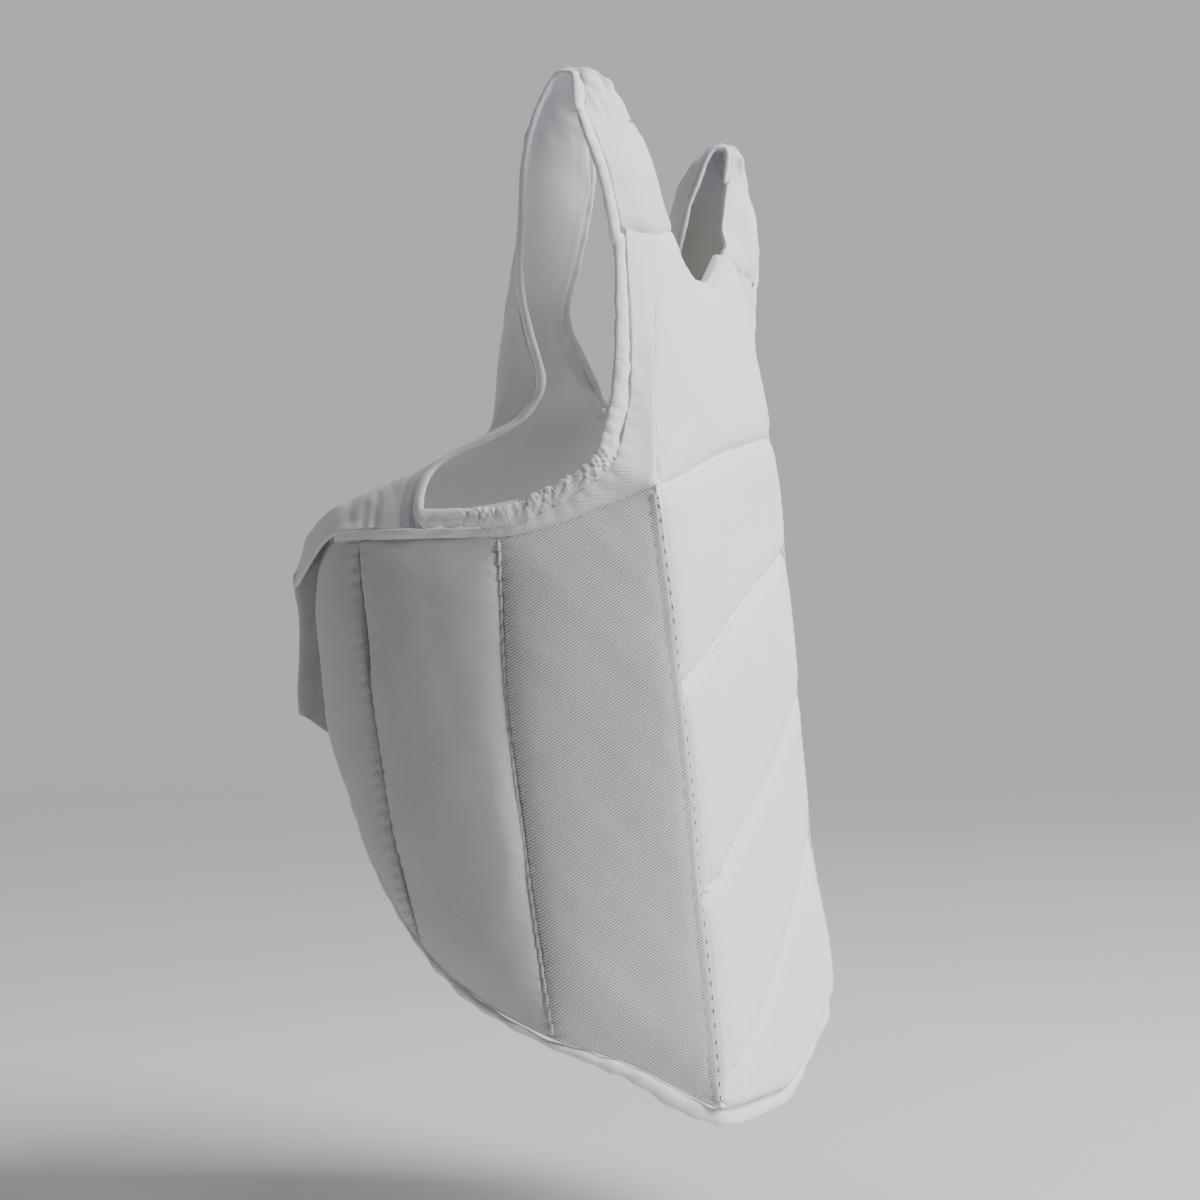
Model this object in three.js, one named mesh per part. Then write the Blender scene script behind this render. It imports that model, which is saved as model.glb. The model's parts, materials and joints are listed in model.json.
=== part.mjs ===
// Karate chest protector: a sleeveless guard of sewn foam pads. One front pad crossed by slanting grooves,
// three side pads on each flank, stretch mesh round the front of each armhole, two front shoulder straps,
// a one-piece cloth yoke with a V neck behind, and a wide belt that closes the guard across the back.
// Millimetres, +Z up, +X to the wearer's left, -Y to the front. The origin is the middle of the shoulder
// line, from which the guard hangs.
import * as THREE from "three";

// Driving dimensions
const GUARD_DROP = 600; // shoulder line down to the foot of the front pad
const FLANK_HALF_WIDTH = 158; // centre line out to the widest side seam
const FRONT_HALF_WIDTH = 118; // centre line out to the widest part of the front pad
const FRONT_REACH = 122; // shoulder line forward to the foot of the front pad
const BACK_REACH = 160; // shoulder line back to the closure belt
const PAD_BACKING = 4.5; // foam behind the level of the seams
const PAD_CROWN = 7; // foam that stands out between the seams
const CLOTH = 3; // padded cloth of the straps and the yoke
const MESH_CLOTH = 2.4; // stretch mesh round the armholes
const BELT_THICKNESS = 3;
const HEM_HEIGHT = 12; // at the front, where the hem is tallest
const HEM_THICKNESS = 5.5;
const ARMHOLE_BINDING_WIDTH = 12.5;
const ARMHOLE_BINDING_THICKNESS = 6;
const STRAP_ROLL_WIDTH = 9;
const STRAP_ROLL_THICKNESS = 5.5;
const PIPING_WIDTH = 7;
const PIPING_THICKNESS = 4.6;
const NECK_BINDING_WIDTH = 4.6;
const NECK_BINDING_THICKNESS = 4;
const TOP_STRIP_HEIGHT = 5.6; // mesh left showing above the side pads
const PUCKER_DEPTH = 1.3; // of the gathers in the armhole binding
const GATHER_FOLD = 1.6; // of the pleats where each strap is gathered on the shoulder
const CORNER_KICK = 7; // how far the left corner of the foot stands forward
const CORNER_LIFT = 38; // and how much higher it hangs than the right corner
const GAP = 0.3; // between pieces that touch
const SEAM_INSET = 0.25; // of each pad from the line of a seam
const MESH_GAP = 1.6; // between the mesh and the edge of the foam
const STRAP_GAP = 1; // between the shoulder strap and what it stands on

// Fineness of the meshes
const BINDING_STEPS = 58;
const HEM_STEPS = 44;
const TUBE_SIDES = 6;

// Places below are shares: side of FLANK_HALF_WIDTH, forward of FRONT_REACH or back of BACK_REACH,
// and drop of GUARD_DROP.

// How the left side hangs, in millimetres forward and down, compared with the right side.
const LEFT_LEAN = [
  { drop: 0, forward: 21, down: 7 },
  { drop: 0.05, forward: 11, down: 4 },
  { drop: 0.08, forward: 6, down: 0 },
  { drop: 0.13, forward: 4, down: 0 },
  { drop: 0.3, forward: 4, down: 0 },
  { drop: 0.38, forward: 2.5, down: 0 },
  { drop: 0.42, forward: 0, down: 0 },
];

// Front pad, from its top to its foot: half is a share of FRONT_HALF_WIDTH, edge and centre of FRONT_REACH.
const FRONT_SECTIONS = [
  { drop: 0.1417, half: 0.602, edge: 0.533, centre: 0.515 },
  { drop: 0.1667, half: 0.636, edge: 0.541, centre: 0.525 },
  { drop: 0.2, half: 0.684, edge: 0.56, centre: 0.558 },
  { drop: 0.2867, half: 0.809, edge: 0.607, centre: 0.639 },
  { drop: 0.395, half: 0.966, edge: 0.672, centre: 0.697 },
  { drop: 0.4083, half: 1, edge: 0.68, centre: 0.705 },
  { drop: 0.615, half: 0.949, edge: 0.795, centre: 0.82 },
  { drop: 0.84, half: 0.915, edge: 0.893, centre: 0.922 },
  { drop: 1.02, half: 0.881, edge: 0.971, centre: 1 },
];

// Seams of the flank at each drop: between the front and middle pads, between the middle and rear pads,
// and the free rear edge. Each is [side, forward].
const FLANK_SECTIONS = [
  { drop: 0.3867, front: [0.975, -0.019], back: [0.994, -0.57], rear: [0.823, -0.85] },
  { drop: 0.46, front: [0.981, 0.008], back: [1, -0.551], rear: [0.823, -0.822] },
  { drop: 0.615, front: [0.981, 0.049], back: [1, -0.487], rear: [0.823, -0.78] },
  { drop: 0.7367, front: [0.981, 0.131], back: [0.987, -0.415], rear: [0.823, -0.702] },
  { drop: 0.855, front: [0.981, 0.221], back: [0.949, -0.322], rear: [0.804, -0.655] },
  { drop: 0.9367, front: [0.981, 0.291], back: [0.924, -0.262], rear: [0.778, -0.625] },
  { drop: 1.0233, front: [0.975, 0.344], back: [0.899, -0.225], rear: [0.753, -0.587] },
];

// Round the flank, 0 is the centre of the front, 1 to 3 are the seams and 4 is the rear edge.
const SEAM = { front: 1, middle: 2, rear: 3, edge: 4 };
const TOP_LINE = [
  { around: 1, drop: 0.4083 },
  { around: 2, drop: 0.4575 },
  { around: 3, drop: 0.4592 },
  { around: 3.6, drop: 0.4617 },
  { around: 4, drop: 0.48 },
];
const FOOT_LINE = [
  { around: 0, drop: 1.0167 },
  { around: 1, drop: 1.0025 },
  { around: 1.25, drop: 0.9827 },
  { around: 1.5, drop: 0.9573 },
  { around: 1.75, drop: 0.9438 },
  { around: 2, drop: 0.9317 },
  { around: 2.4, drop: 0.909 },
  { around: 2.7, drop: 0.8873 },
  { around: 3, drop: 0.85 },
  { around: 3.5, drop: 0.757 },
  { around: 4, drop: 0.6583 },
];

// Top edge of the front pad: the neckline scoop, the two neck corners and the shoulders of the pad.
// across is a share of the pad's half width there.
const PAD_TOP = [
  { across: 0, drop: 0.184 },
  { across: 0.11, drop: 0.1845 },
  { across: 0.25, drop: 0.178 },
  { across: 0.43, drop: 0.1617 },
  { across: 0.6, drop: 0.1442 },
  { across: 0.8, drop: 0.1485 },
  { across: 1, drop: 0.1555 },
];
const NECK_CORNER = 0.6;

// Slanting grooves across the front pad, each with its drop at the right edge, the centre and the left edge.
const GROOVES = [
  { right: 0.4117, centre: 0.3633, left: 0.3333 },
  { right: 0.6033, centre: 0.52, left: 0.4567 },
  { right: 0.81, centre: 0.71, left: 0.6083 },
  { right: 0.9958, centre: 0.8875, left: 0.7617 },
];
// Rise of the foam from a groove to the middle of a band: at is the share of the band's height.
const GROOVE_PROFILE = [
  { at: 0, rise: 0.3 },
  { at: 0.035, rise: 0.74 },
  { at: 0.12, rise: 0.94 },
  { at: 0.3, rise: 0.99 },
  { at: 0.5, rise: 1 },
  { at: 0.7, rise: 0.99 },
  { at: 0.88, rise: 0.94 },
  { at: 0.965, rise: 0.74 },
];
const FRONT_COLUMNS = [0, 0.11, 0.25, 0.43, 0.6, 0.8, 0.91, 0.97, 1];
const PAD_STEPS = [0, 0.03, 0.1, 0.28, 0.5, 0.72, 0.9, 0.97, 1];
const PAD_LEVELS = [0, 0.03, 0.1, 0.22, 0.36, 0.5, 0.64, 0.78, 0.9, 0.97, 1];
const CROWN_POWER = 8; // how square the shoulders of a pad are

// Armhole, from the foot of the shoulder strap down the front, round the corner and back along the side pads.
// foam is where the mesh meets the pads, on the front pad's edge by drop or on the top line by around.
// edge is the open edge, and bound the share of the binding's width that covers it.
const ARMHOLE = [
  { around: 1, drop: 0.1563, edge: [0.788, 0.484, 0.1605], bound: 1 },
  { around: 1, drop: 0.2117, edge: [0.769, 0.48, 0.22], bound: 1 },
  { around: 1, drop: 0.2617, edge: [0.766, 0.475, 0.265], bound: 1 },
  { around: 1, drop: 0.3117, edge: [0.785, 0.467, 0.3133], bound: 1 },
  { around: 1, drop: 0.3617, edge: [0.829, 0.447, 0.3533], bound: 1 },
  { around: 1, drop: 0.4083, edge: [0.88, 0.402, 0.3867], bound: 1 },
  { around: 1.35, drop: 0, edge: [0.93, 0.238, 0.41], bound: 1 },
  { around: 1.7, drop: 0, edge: [0.962, 0.107, 0.4217], bound: 1 },
  { around: 2, drop: 0, edge: [0.981, -0.006, 0.4275], bound: 1 },
  { around: 2.45, drop: 0, edge: [0.991, -0.24, 0.4283], bound: 1 },
];
// Where only the strip of mesh runs on above the pads, and its height there as a share of the whole.
const STRIP_ROUTE = [
  { around: 2.6, height: 1 },
  { around: 3, height: 1 },
  { around: 3.35, height: 0.5 },
];
const BINDING_START = 0.165; // just under the foot of the strap
const BINDING_END = ARMHOLE.length - 1;

// Front shoulder strap above its foot seam, and the yoke from the strap seam over the shoulder, down the back
// strap to the waist and out along the lower arm. Each row has its armhole edge, its ridge and its neck edge.
// joined is how far the two halves run into one another at the centre line.
const STRAP_SECTIONS = [
  { armhole: [0.829, 0.48, 0.1517], ridge: [0.595, 0.549, 0.1433], neck: [0.367, 0.541, 0.1317] },
  { armhole: [0.873, 0.451, 0.1117], ridge: [0.665, 0.533, 0.1067], neck: [0.437, 0.537, 0.1083] },
  { armhole: [0.892, 0.402, 0.0817], ridge: [0.696, 0.492, 0.0775], neck: [0.491, 0.516, 0.0783] },
];
const YOKE_SECTIONS = [
  // strap seam, front of the shoulder, gathered top, back of the gathers, back of the shoulder
  { armhole: [0.867, 0.336, 0.055], ridge: [0.709, 0.41, 0.0492], neck: [0.535, 0.447, 0.0467] },
  { armhole: [0.797, 0.291, 0.0335], ridge: [0.677, 0.361, 0.0255], neck: [0.544, 0.385, 0.0205] },
  { armhole: [0.715, 0.23, 0.0035], ridge: [0.633, 0.27, 0], neck: [0.551, 0.287, 0.003] },
  { armhole: [0.715, 0.148, 0.0015], ridge: [0.633, 0.18, -0.002], neck: [0.544, 0.23, 0.003] },
  { armhole: [0.728, 0.09, 0.0195], ridge: [0.639, 0.098, 0.014], neck: [0.525, 0.213, 0.0167] },
  // back strap down to the top of the neck V
  { armhole: [0.766, 0.041, 0.0483], ridge: [0.671, 0.033, 0.0433], neck: [0.494, 0.23, 0.0533] },
  { armhole: [0.823, 0.016, 0.1], ridge: [0.715, 0.012, 0.0967], neck: [0.462, 0.221, 0.1017] },
  { armhole: [0.829, 0, 0.17], ridge: [0.741, -0.012, 0.1717], neck: [0.443, 0.131, 0.18] },
  { armhole: [0.81, 0.025, 0.2233], ridge: [0.696, -0.082, 0.225], neck: [0.449, 0.066, 0.23] },
  // down the neck V, the waist and the crotch between the lower arms
  { armhole: [0.797, 0.098, 0.2767], ridge: [0.658, -0.137, 0.27], neck: [0.241, 0.045, 0.2717], joined: 0.5 },
  { armhole: [0.791, 0.139, 0.31], ridge: [0.639, -0.162, 0.305], neck: [0, 0.02, 0.3203], joined: 1 },
  { armhole: [0.801, 0, 0.3417], ridge: [0.652, -0.16, 0.352], neck: [0, -0.1, 0.3533], joined: 1 },
  { armhole: [0.835, -0.181, 0.365], ridge: [0.709, -0.325, 0.383], neck: [0, -0.312, 0.4033], joined: 1 },
  // lower arm out to its foot on the side pads and round the rear corner
  { armhole: [0.88, -0.3, 0.3867], ridge: [0.81, -0.545, 0.4065], neck: [0.392, -0.612, 0.4267], joined: 0.5 },
  { armhole: [0.952, -0.312, 0.4183], ridge: [0.857, -0.775, 0.4285], neck: [0.747, -0.953, 0.492] },
  { armhole: [0.984, -0.275, 0.4447], ridge: [0.94, -0.65, 0.4437], neck: [0.826, -0.926, 0.504] },
];
// How much further forward the armhole edge and the neck edge hang on the left side, row by row.
const STRAP_LEAN = [
  [0, -0.035],
  [0, -0.1],
  [0, -0.1],
];
const YOKE_LEAN = [
  [0, -0.08],
  [0, -0.05],
  [0, 0],
  [0, 0],
  [0.1, 0],
  [0.27, 0],
  [0.32, 0],
  [0.23, 0],
  [0.1, 0],
];
const NECK_FOOT = 10; // row of the yoke at the foot of the neck V
const YOKE_STEPS = 2; // mesh rows for each row of the table
const YOKE_COLUMNS = [0, 0.15, 0.32, 0.5, 0.68, 0.85, 1];
const GATHER_ROWS = { middle: 2.4, spread: 1.8 }; // where along the yoke the strap is gathered

// Closure belt, from inside the rear pad round the corner to the centre of the back: [side, forward].
const BELT_ROUTE = [
  [0.794, -0.894],
  [0.747, -0.925],
  [0.62, -0.956],
  [0.316, -0.987],
  [0, -0.994],
];
const BELT_TOP = { inside: 0.462, corner: 0.498 };
const BELT_FOOT = { inside: 0.66, corner: 0.6333 };
const BELT_START = 3.72; // around, inside the rear pad
const BELT_LEVELS = [0, 0.25, 0.5, 0.75, 1];
const BELT_LEAN = 0.004; // how much further back its top edge stands

const UP = new THREE.Vector3(0, 0, 1);

// Monotone cubic curve through the values ys at the places xs.
function smooth(xs, ys) {
  const last = xs.length - 1;
  const slope = xs.slice(0, last).map((x, i) => (ys[i + 1] - ys[i]) / (xs[i + 1] - x));
  const tangent = ys.map((y, i) => {
    if (i === 0) return slope[0];
    if (i === last) return slope[last - 1];
    const before = slope[i - 1];
    const after = slope[i];
    return before * after <= 0 ? 0 : (2 * before * after) / (before + after);
  });
  return (x) => {
    const at = THREE.MathUtils.clamp(x, xs[0], xs[last]);
    let i = xs.findIndex((start, k) => k === last - 1 || at < xs[k + 1]);
    i = Math.max(i, 0);
    const width = xs[i + 1] - xs[i];
    const t = (at - xs[i]) / width;
    const start = ys[i] * (1 + 2 * t) * (1 - t) ** 2 + tangent[i] * width * t * (1 - t) ** 2;
    const end = ys[i + 1] * t * t * (3 - 2 * t) + tangent[i + 1] * width * t * t * (t - 1);
    return start + end;
  };
}

// One smooth function for each number that pick finds in the rows, along the places xs.
function smoothRows(rows, xs, pick) {
  const columns = pick(rows[0]).map((_, k) => smooth(xs, rows.map((row) => pick(row)[k])));
  return (x) => columns.map((column) => column(x));
}

const rowNumbers = (rows) => rows.map((_, i) => i);
const unit = (v) => v.clone().normalize();
const cross = (a, b) => a.clone().cross(b);
const reach = (forward) => -forward * (forward >= 0 ? FRONT_REACH : BACK_REACH);
const place = ([side, forward, drop]) =>
  new THREE.Vector3(side * FLANK_HALF_WIDTH, reach(forward), -drop * GUARD_DROP);

// Shell of the torso at the level of the seams

const drops = (rows) => rows.map((row) => row.drop);
const frontShares = (row) => [row.half, row.edge, row.centre];
const frontSection = smoothRows(FRONT_SECTIONS, drops(FRONT_SECTIONS), frontShares);
const flankSection = smoothRows(FLANK_SECTIONS, drops(FLANK_SECTIONS), (row) => [
  ...row.front,
  ...row.back,
  ...row.rear,
]);
const topLine = smooth(TOP_LINE.map((row) => row.around), drops(TOP_LINE));
const footLine = smooth(FOOT_LINE.map((row) => row.around), drops(FOOT_LINE));

function frontPoint(across, drop) {
  const [half, edge, centre] = frontSection(drop);
  const forward = edge + (centre - edge) * (1 - across * across);
  return new THREE.Vector3(across * half * FRONT_HALF_WIDTH, -forward * FRONT_REACH, -drop * GUARD_DROP);
}

function flankPoint(around, drop) {
  const section = flankSection(drop);
  const seams = [0, 2, 4].map((k) => place([section[k], section[k + 1], drop]));
  const plan = new THREE.CatmullRomCurve3([frontPoint(1, drop), ...seams], false, "catmullrom", 0.5);
  return plan.getPoint((around - SEAM.front) / (SEAM.edge - SEAM.front));
}

// Outward normal of a surface point(across, drop), by small steps.
function normalOf(point, across, drop, low, high) {
  const step = 0.004;
  const left = point(Math.max(across - step, low), drop);
  const right = point(Math.min(across + step, high), drop);
  const fall = point(across, drop + step).sub(point(across, drop - step));
  return unit(cross(fall, right.sub(left)));
}

const frontNormal = (across, drop) => normalOf(frontPoint, across, drop, -1, 1);
const flankNormal = (around, drop) => normalOf(flankPoint, around, drop, SEAM.front, SEAM.edge);

// From just above the armhole corner down, the front pad and the flank share one mitred normal at their seam.
const SEAM_BLEND = 0.012;

function frontSeamNormal(drop) {
  const own = frontNormal(1, drop);
  if (drop < topLine(SEAM.front) - SEAM_BLEND) return own;
  return unit(own.add(flankNormal(SEAM.front, drop)));
}

const mirroredNormal = (v) => new THREE.Vector3(-v.x, v.y, v.z);
const mirroredPoint = ({ point, normal }) => ({
  point: mirroredNormal(point),
  normal: mirroredNormal(normal),
});

// The left side hangs a little further forward, and its corner of the foot is kicked up.
const leftLean = smoothRows(LEFT_LEAN, drops(LEFT_LEAN), (row) => [row.forward, row.down]);
const CORNER = { innerSide: 0.06, outerSide: 0.7, top: 0.76, foot: 1, back: 0.25, front: 0.9 };

function hang(point) {
  const { smoothstep } = THREE.MathUtils;
  const side = point.x / FLANK_HALF_WIDTH;
  const drop = -point.z / GUARD_DROP;
  const [forward, down] = leftLean(drop);
  const lean = smoothstep(side, 0.06, 0.45);
  const low = smoothstep(drop, CORNER.top, CORNER.foot);
  const near = smoothstep(-point.y / FRONT_REACH, CORNER.back, CORNER.front);
  const corner = low * near * smoothstep(side, CORNER.innerSide, CORNER.outerSide);
  const y = point.y - forward * lean - CORNER_KICK * corner;
  return new THREE.Vector3(point.x, y, point.z - down * lean + CORNER_LIFT * corner);
}

// Solids

// A wall between outer and inner points. Faces are laid on the outer points, and the inner skin and the rim
// follow from them. Points that fall together are one.
class Wall {
  constructor() {
    this.outer = [];
    this.inner = [];
    this.faces = [];
    this.known = new Map();
  }

  point(outer, inner) {
    const key = outer.toArray().map((v) => Math.round(v * 1000)).join();
    if (!this.known.has(key)) {
      this.known.set(key, this.outer.length);
      this.outer.push(outer);
      this.inner.push(inner);
    }
    return this.known.get(key);
  }

  // Rows run down and columns run to the wearer's left when seen from outside, or the other way if turned.
  patch(rows, turned = false) {
    const ids = rows.map((row) => row.map(({ outer, inner }) => this.point(outer, inner)));
    for (let i = 0; i + 1 < ids.length; i++)
      for (let j = 0; j + 1 < ids[i].length; j++) {
        const corners = [ids[i][j], ids[i + 1][j], ids[i + 1][j + 1], ids[i][j + 1]];
        const [a, b, c, d] = turned ? corners.reverse() : corners;
        this.faces.push([a, b, c], [a, c, d]);
      }
    return this;
  }

  geometry() {
    const count = this.outer.length;
    const edges = new Set(this.faces.flatMap(([a, b, c]) => [`${a} ${b}`, `${b} ${c}`, `${c} ${a}`]));
    const triangles = [...this.faces];
    for (const [a, b, c] of this.faces) triangles.push([c + count, b + count, a + count]);
    for (const edge of edges) {
      const [a, b] = edge.split(" ").map(Number);
      if (!edges.has(`${b} ${a}`)) triangles.push([b, a, a + count], [b, a + count, b + count]);
    }
    return solid([...this.outer, ...this.inner], triangles);
  }
}

// A buffer geometry from points and triangles, turned so that its faces point outwards.
function solid(points, triangles) {
  const volume = triangles.reduce((sum, [a, b, c]) => sum + cross(points[a], points[b]).dot(points[c]), 0);
  const index = triangles.flatMap(([a, b, c]) => (volume < 0 ? [a, c, b] : [a, b, c]));
  const geometry = new THREE.BufferGeometry().setFromPoints(points);
  geometry.setIndex(index);
  geometry.computeVertexNormals();
  return geometry;
}

// A bar with an oval section along stations of centre, across, normal, halfWidth and halfThickness.
function bar(stations, sides = TUBE_SIDES) {
  const points = stations.flatMap((s) =>
    Array.from({ length: sides }, (_, k) => {
      const angle = ((k + 0.5) / sides) * 2 * Math.PI;
      return s.centre
        .clone()
        .addScaledVector(s.across, Math.cos(angle) * s.halfWidth)
        .addScaledVector(s.normal, Math.sin(angle) * s.halfThickness);
    }),
  );
  const triangles = [];
  for (let i = 0; i + 1 < stations.length; i++)
    for (let k = 0; k < sides; k++) {
      const next = (k + 1) % sides;
      const [a, b, c, d] = [i * sides + k, i * sides + next, (i + 1) * sides + next, (i + 1) * sides + k];
      triangles.push([a, b, c], [a, c, d]);
    }
  const end = (stations.length - 1) * sides;
  for (let k = 1; k + 1 < sides; k++) triangles.push([0, k + 1, k], [end, end + k, end + k + 1]);
  return solid(points, triangles);
}

// The same solid on the wearer's other side.
function mirrored(geometry) {
  const position = geometry.getAttribute("position");
  const pointAt = (_, i) => new THREE.Vector3().fromBufferAttribute(position, i);
  const points = Array.from({ length: position.count }, pointAt);
  const index = [...geometry.getIndex().array];
  const triangles = [];
  for (let i = 0; i < index.length; i += 3) triangles.push([index[i], index[i + 2], index[i + 1]]);
  return solid(points.map(mirroredNormal), triangles);
}

// The solid with the left strap's lean.
function hung(geometry) {
  const position = geometry.getAttribute("position");
  for (let i = 0; i < position.count; i++) {
    const point = hang(new THREE.Vector3().fromBufferAttribute(position, i));
    position.setXYZ(i, point.x, point.y, point.z);
  }
  return geometry;
}

// Pads

const padShape = (t) => 1 - Math.abs(2 * t - 1) ** CROWN_POWER;
const sideways = (normal) => unit(cross(UP, normal));

// Outer and inner point of a pad where the shell is at base.
function padPoint(base, normal, rise) {
  return {
    outer: base.clone().addScaledVector(normal, PAD_CROWN * rise),
    inner: base.clone().addScaledVector(normal, -PAD_BACKING),
  };
}

// One drop for each line across the front pad, by its signed share across.
function frontLines() {
  const grooves = GROOVES.map((row) => smooth([-1, 0, 1], [row.right, row.centre, row.left]));
  return [(across) => padTop(Math.abs(across)), ...grooves, (across) => footLine(Math.abs(across))];
}

function frontPad() {
  const lines = frontLines();
  const columns = [...FRONT_COLUMNS.slice(1).reverse().map((v) => -v), ...FRONT_COLUMNS];
  const levels = [];
  for (let band = 0; band + 1 < lines.length; band++)
    for (const { at, rise } of GROOVE_PROFILE) levels.push({ band, at, rise });
  levels.push({ band: lines.length - 2, at: 1, rise: GROOVE_PROFILE[0].rise });
  const rows = levels.map(({ band, at, rise }) =>
    columns.map((across) => {
      const drop = THREE.MathUtils.lerp(lines[band](across), lines[band + 1](across), at);
      const base = frontPoint(across, drop);
      if (Math.abs(across) < 1) {
        const shoulder = padShape((1 + across) / 2);
        return padPoint(base, frontNormal(across, drop), rise * shoulder);
      }
      const left = frontSeamNormal(drop);
      const normal = across > 0 ? left : mirroredNormal(left);
      base.addScaledVector(sideways(normal), -across * SEAM_INSET);
      return padPoint(base, normal, 0);
    }),
  );
  return new Wall().patch(rows).geometry();
}

function sidePad(from, to) {
  const last = PAD_STEPS.length - 1;
  const rows = PAD_LEVELS.map((level) =>
    PAD_STEPS.map((step, j) => {
      const around = THREE.MathUtils.lerp(from, to, step);
      const drop = THREE.MathUtils.lerp(topLine(around), footLine(around), level);
      const base = flankPoint(around, drop);
      const normal = around === SEAM.front ? frontSeamNormal(drop) : flankNormal(around, drop);
      const inset = j === 0 ? SEAM_INSET : j === last ? -SEAM_INSET : 0;
      base.addScaledVector(sideways(normal), inset);
      return padPoint(base, normal, padShape(step) * padShape(level));
    }),
  );
  return new Wall().patch(rows).geometry();
}

// Hem round the foot of all the pads, tallest at the front
function hem() {
  const height = smooth([0, 1, 1.3, 1.6, 2, 3, 4], [1, 1, 0.92, 0.65, 0.52, 0.36, 0.32]);
  const stations = Array.from({ length: HEM_STEPS + 1 }, (_, i) => {
    const around = (i / HEM_STEPS) * 2 * SEAM.edge - SEAM.edge;
    const bend = Math.abs(around);
    const drop = footLine(bend);
    const onFront = bend < SEAM.front;
    const point = onFront ? frontPoint(bend, drop) : flankPoint(bend, drop);
    const normal = onFront ? frontNormal(bend, drop) : flankNormal(Math.min(bend, SEAM.edge), drop);
    return { ...(around < 0 ? mirroredPoint({ point, normal }) : { point, normal }), bend };
  });
  return bar(
    stations.map(({ point, normal, bend }, i) => {
      const before = stations[Math.max(i - 1, 0)].point;
      const after = stations[Math.min(i + 1, HEM_STEPS)].point;
      const run = unit(after.clone().sub(before));
      const outward = unit(normal.clone().addScaledVector(run, -normal.dot(run)));
      const down = cross(run, outward);
      const halfWidth = (HEM_HEIGHT / 2) * height(bend);
      const sink = HEM_THICKNESS / 2 - PAD_BACKING;
      return {
        centre: point.clone().addScaledVector(down, halfWidth + 2 * GAP).addScaledVector(outward, sink),
        across: down,
        normal: outward,
        halfWidth,
        halfThickness: HEM_THICKNESS / 2,
      };
    }),
  );
}

// Armhole mesh and its gathered binding

const foamRoute = smoothRows(ARMHOLE, rowNumbers(ARMHOLE), (row) => [row.around, row.drop]);

function armholeRows() {
  const strip = STRIP_ROUTE.map(({ around, height }) => {
    const top = flankPoint(around, topLine(around));
    return { foam: top, edge: top.clone().addScaledVector(UP, TOP_STRIP_HEIGHT * height), bound: 0 };
  });
  const bound = ARMHOLE.map((row) => {
    const onFront = row.around === SEAM.front;
    const foam = onFront ? frontPoint(1, row.drop) : flankPoint(row.around, topLine(row.around));
    return { foam, edge: place(row.edge), bound: row.bound };
  });
  return [...bound, ...strip];
}

// Frame of the armhole at a place along its rows, from the foam at 0 out to the open edge.
function armholeFrames() {
  const rows = armholeRows();
  const numbers = rowNumbers(rows);
  const edgeAt = smoothRows(rows, numbers, (row) => [...row.edge.toArray(), row.bound]);
  const corner = ARMHOLE.findIndex((row) => row.around > SEAM.front) - 1;
  const arounds = [...ARMHOLE, ...STRIP_ROUTE].map((row) => row.around);
  const aroundAt = smooth(numbers.slice(corner), arounds.slice(corner));
  const foamAt = (s) => {
    if (s <= corner) return frontPoint(1, foamRoute(s)[1]);
    const around = aroundAt(s);
    return flankPoint(around, topLine(around));
  };
  return (s) => {
    const [x, y, z, bound] = edgeAt(s);
    const edge = new THREE.Vector3(x, y, z);
    const foam = foamAt(s);
    const step = 0.02;
    const ahead = new THREE.Vector3(...edgeAt(Math.min(s + step, rows.length - 1)));
    const behind = new THREE.Vector3(...edgeAt(Math.max(s - step, 0)));
    const run = unit(ahead.sub(behind));
    const out = unit(edge.clone().sub(foam));
    const normal = unit(cross(out, run));
    return { edge, foam, out, run, normal, bound, last: rows.length - 1 };
  };
}

const armholeAt = armholeFrames();

function armholeMesh() {
  const steps = armholeAt(0).last * 2;
  const rows = Array.from({ length: steps + 1 }, (_, i) => {
    const frame = armholeAt(i / 2);
    const start = frame.foam.clone().addScaledVector(frame.out, MESH_GAP);
    const bound = frame.bound * (ARMHOLE_BINDING_WIDTH + 4 * GAP);
    const end = frame.edge.clone().addScaledVector(frame.out, -bound);
    return [0, 0.5, 1].map((t) => {
      const middle = start.clone().lerp(end, t);
      return {
        outer: middle.clone().addScaledVector(frame.normal, MESH_CLOTH / 2),
        inner: middle.clone().addScaledVector(frame.normal, -MESH_CLOTH / 2),
      };
    });
  });
  return new Wall().patch(rows).geometry();
}

function armholeBinding() {
  const zone = smooth([0, 3, 4.5, BINDING_END - 0.5, BINDING_END], [0.15, 0.3, 1, 0.8, 0.25]);
  return bar(
    Array.from({ length: BINDING_STEPS + 1 }, (_, i) => {
      const s = THREE.MathUtils.lerp(BINDING_START, BINDING_END, i / BINDING_STEPS);
      const frame = armholeAt(s);
      const pucker = PUCKER_DEPTH * zone(s) * (i % 2 ? 1 : -1);
      const across = unit(cross(frame.run, frame.normal));
      const halfWidth = ARMHOLE_BINDING_WIDTH / 2;
      return {
        centre: frame.edge.clone().addScaledVector(frame.out, -halfWidth),
        across,
        normal: frame.normal,
        halfWidth: halfWidth - PUCKER_DEPTH * 0.3 + pucker * 0.3,
        halfThickness: ARMHOLE_BINDING_THICKNESS / 2 + pucker * 0.5,
      };
    }),
  );
}

// Straps and yoke: sheets whose rows are smooth curves from the armhole edge over the ridge to the neck edge

function sectionPoint(row, across) {
  const onward = row.neck.clone().multiplyScalar(2).sub(row.ridge);
  const beyond = onward.lerp(mirroredNormal(row.ridge), row.joined);
  const before = row.armhole.clone().multiplyScalar(2).sub(row.ridge);
  const curve = new THREE.CatmullRomCurve3(
    [before, row.armhole, row.ridge, row.neck, beyond],
    false,
    "catmullrom",
    0.5,
  );
  return curve.getPoint((1 + 2 * across) / 4);
}

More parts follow.
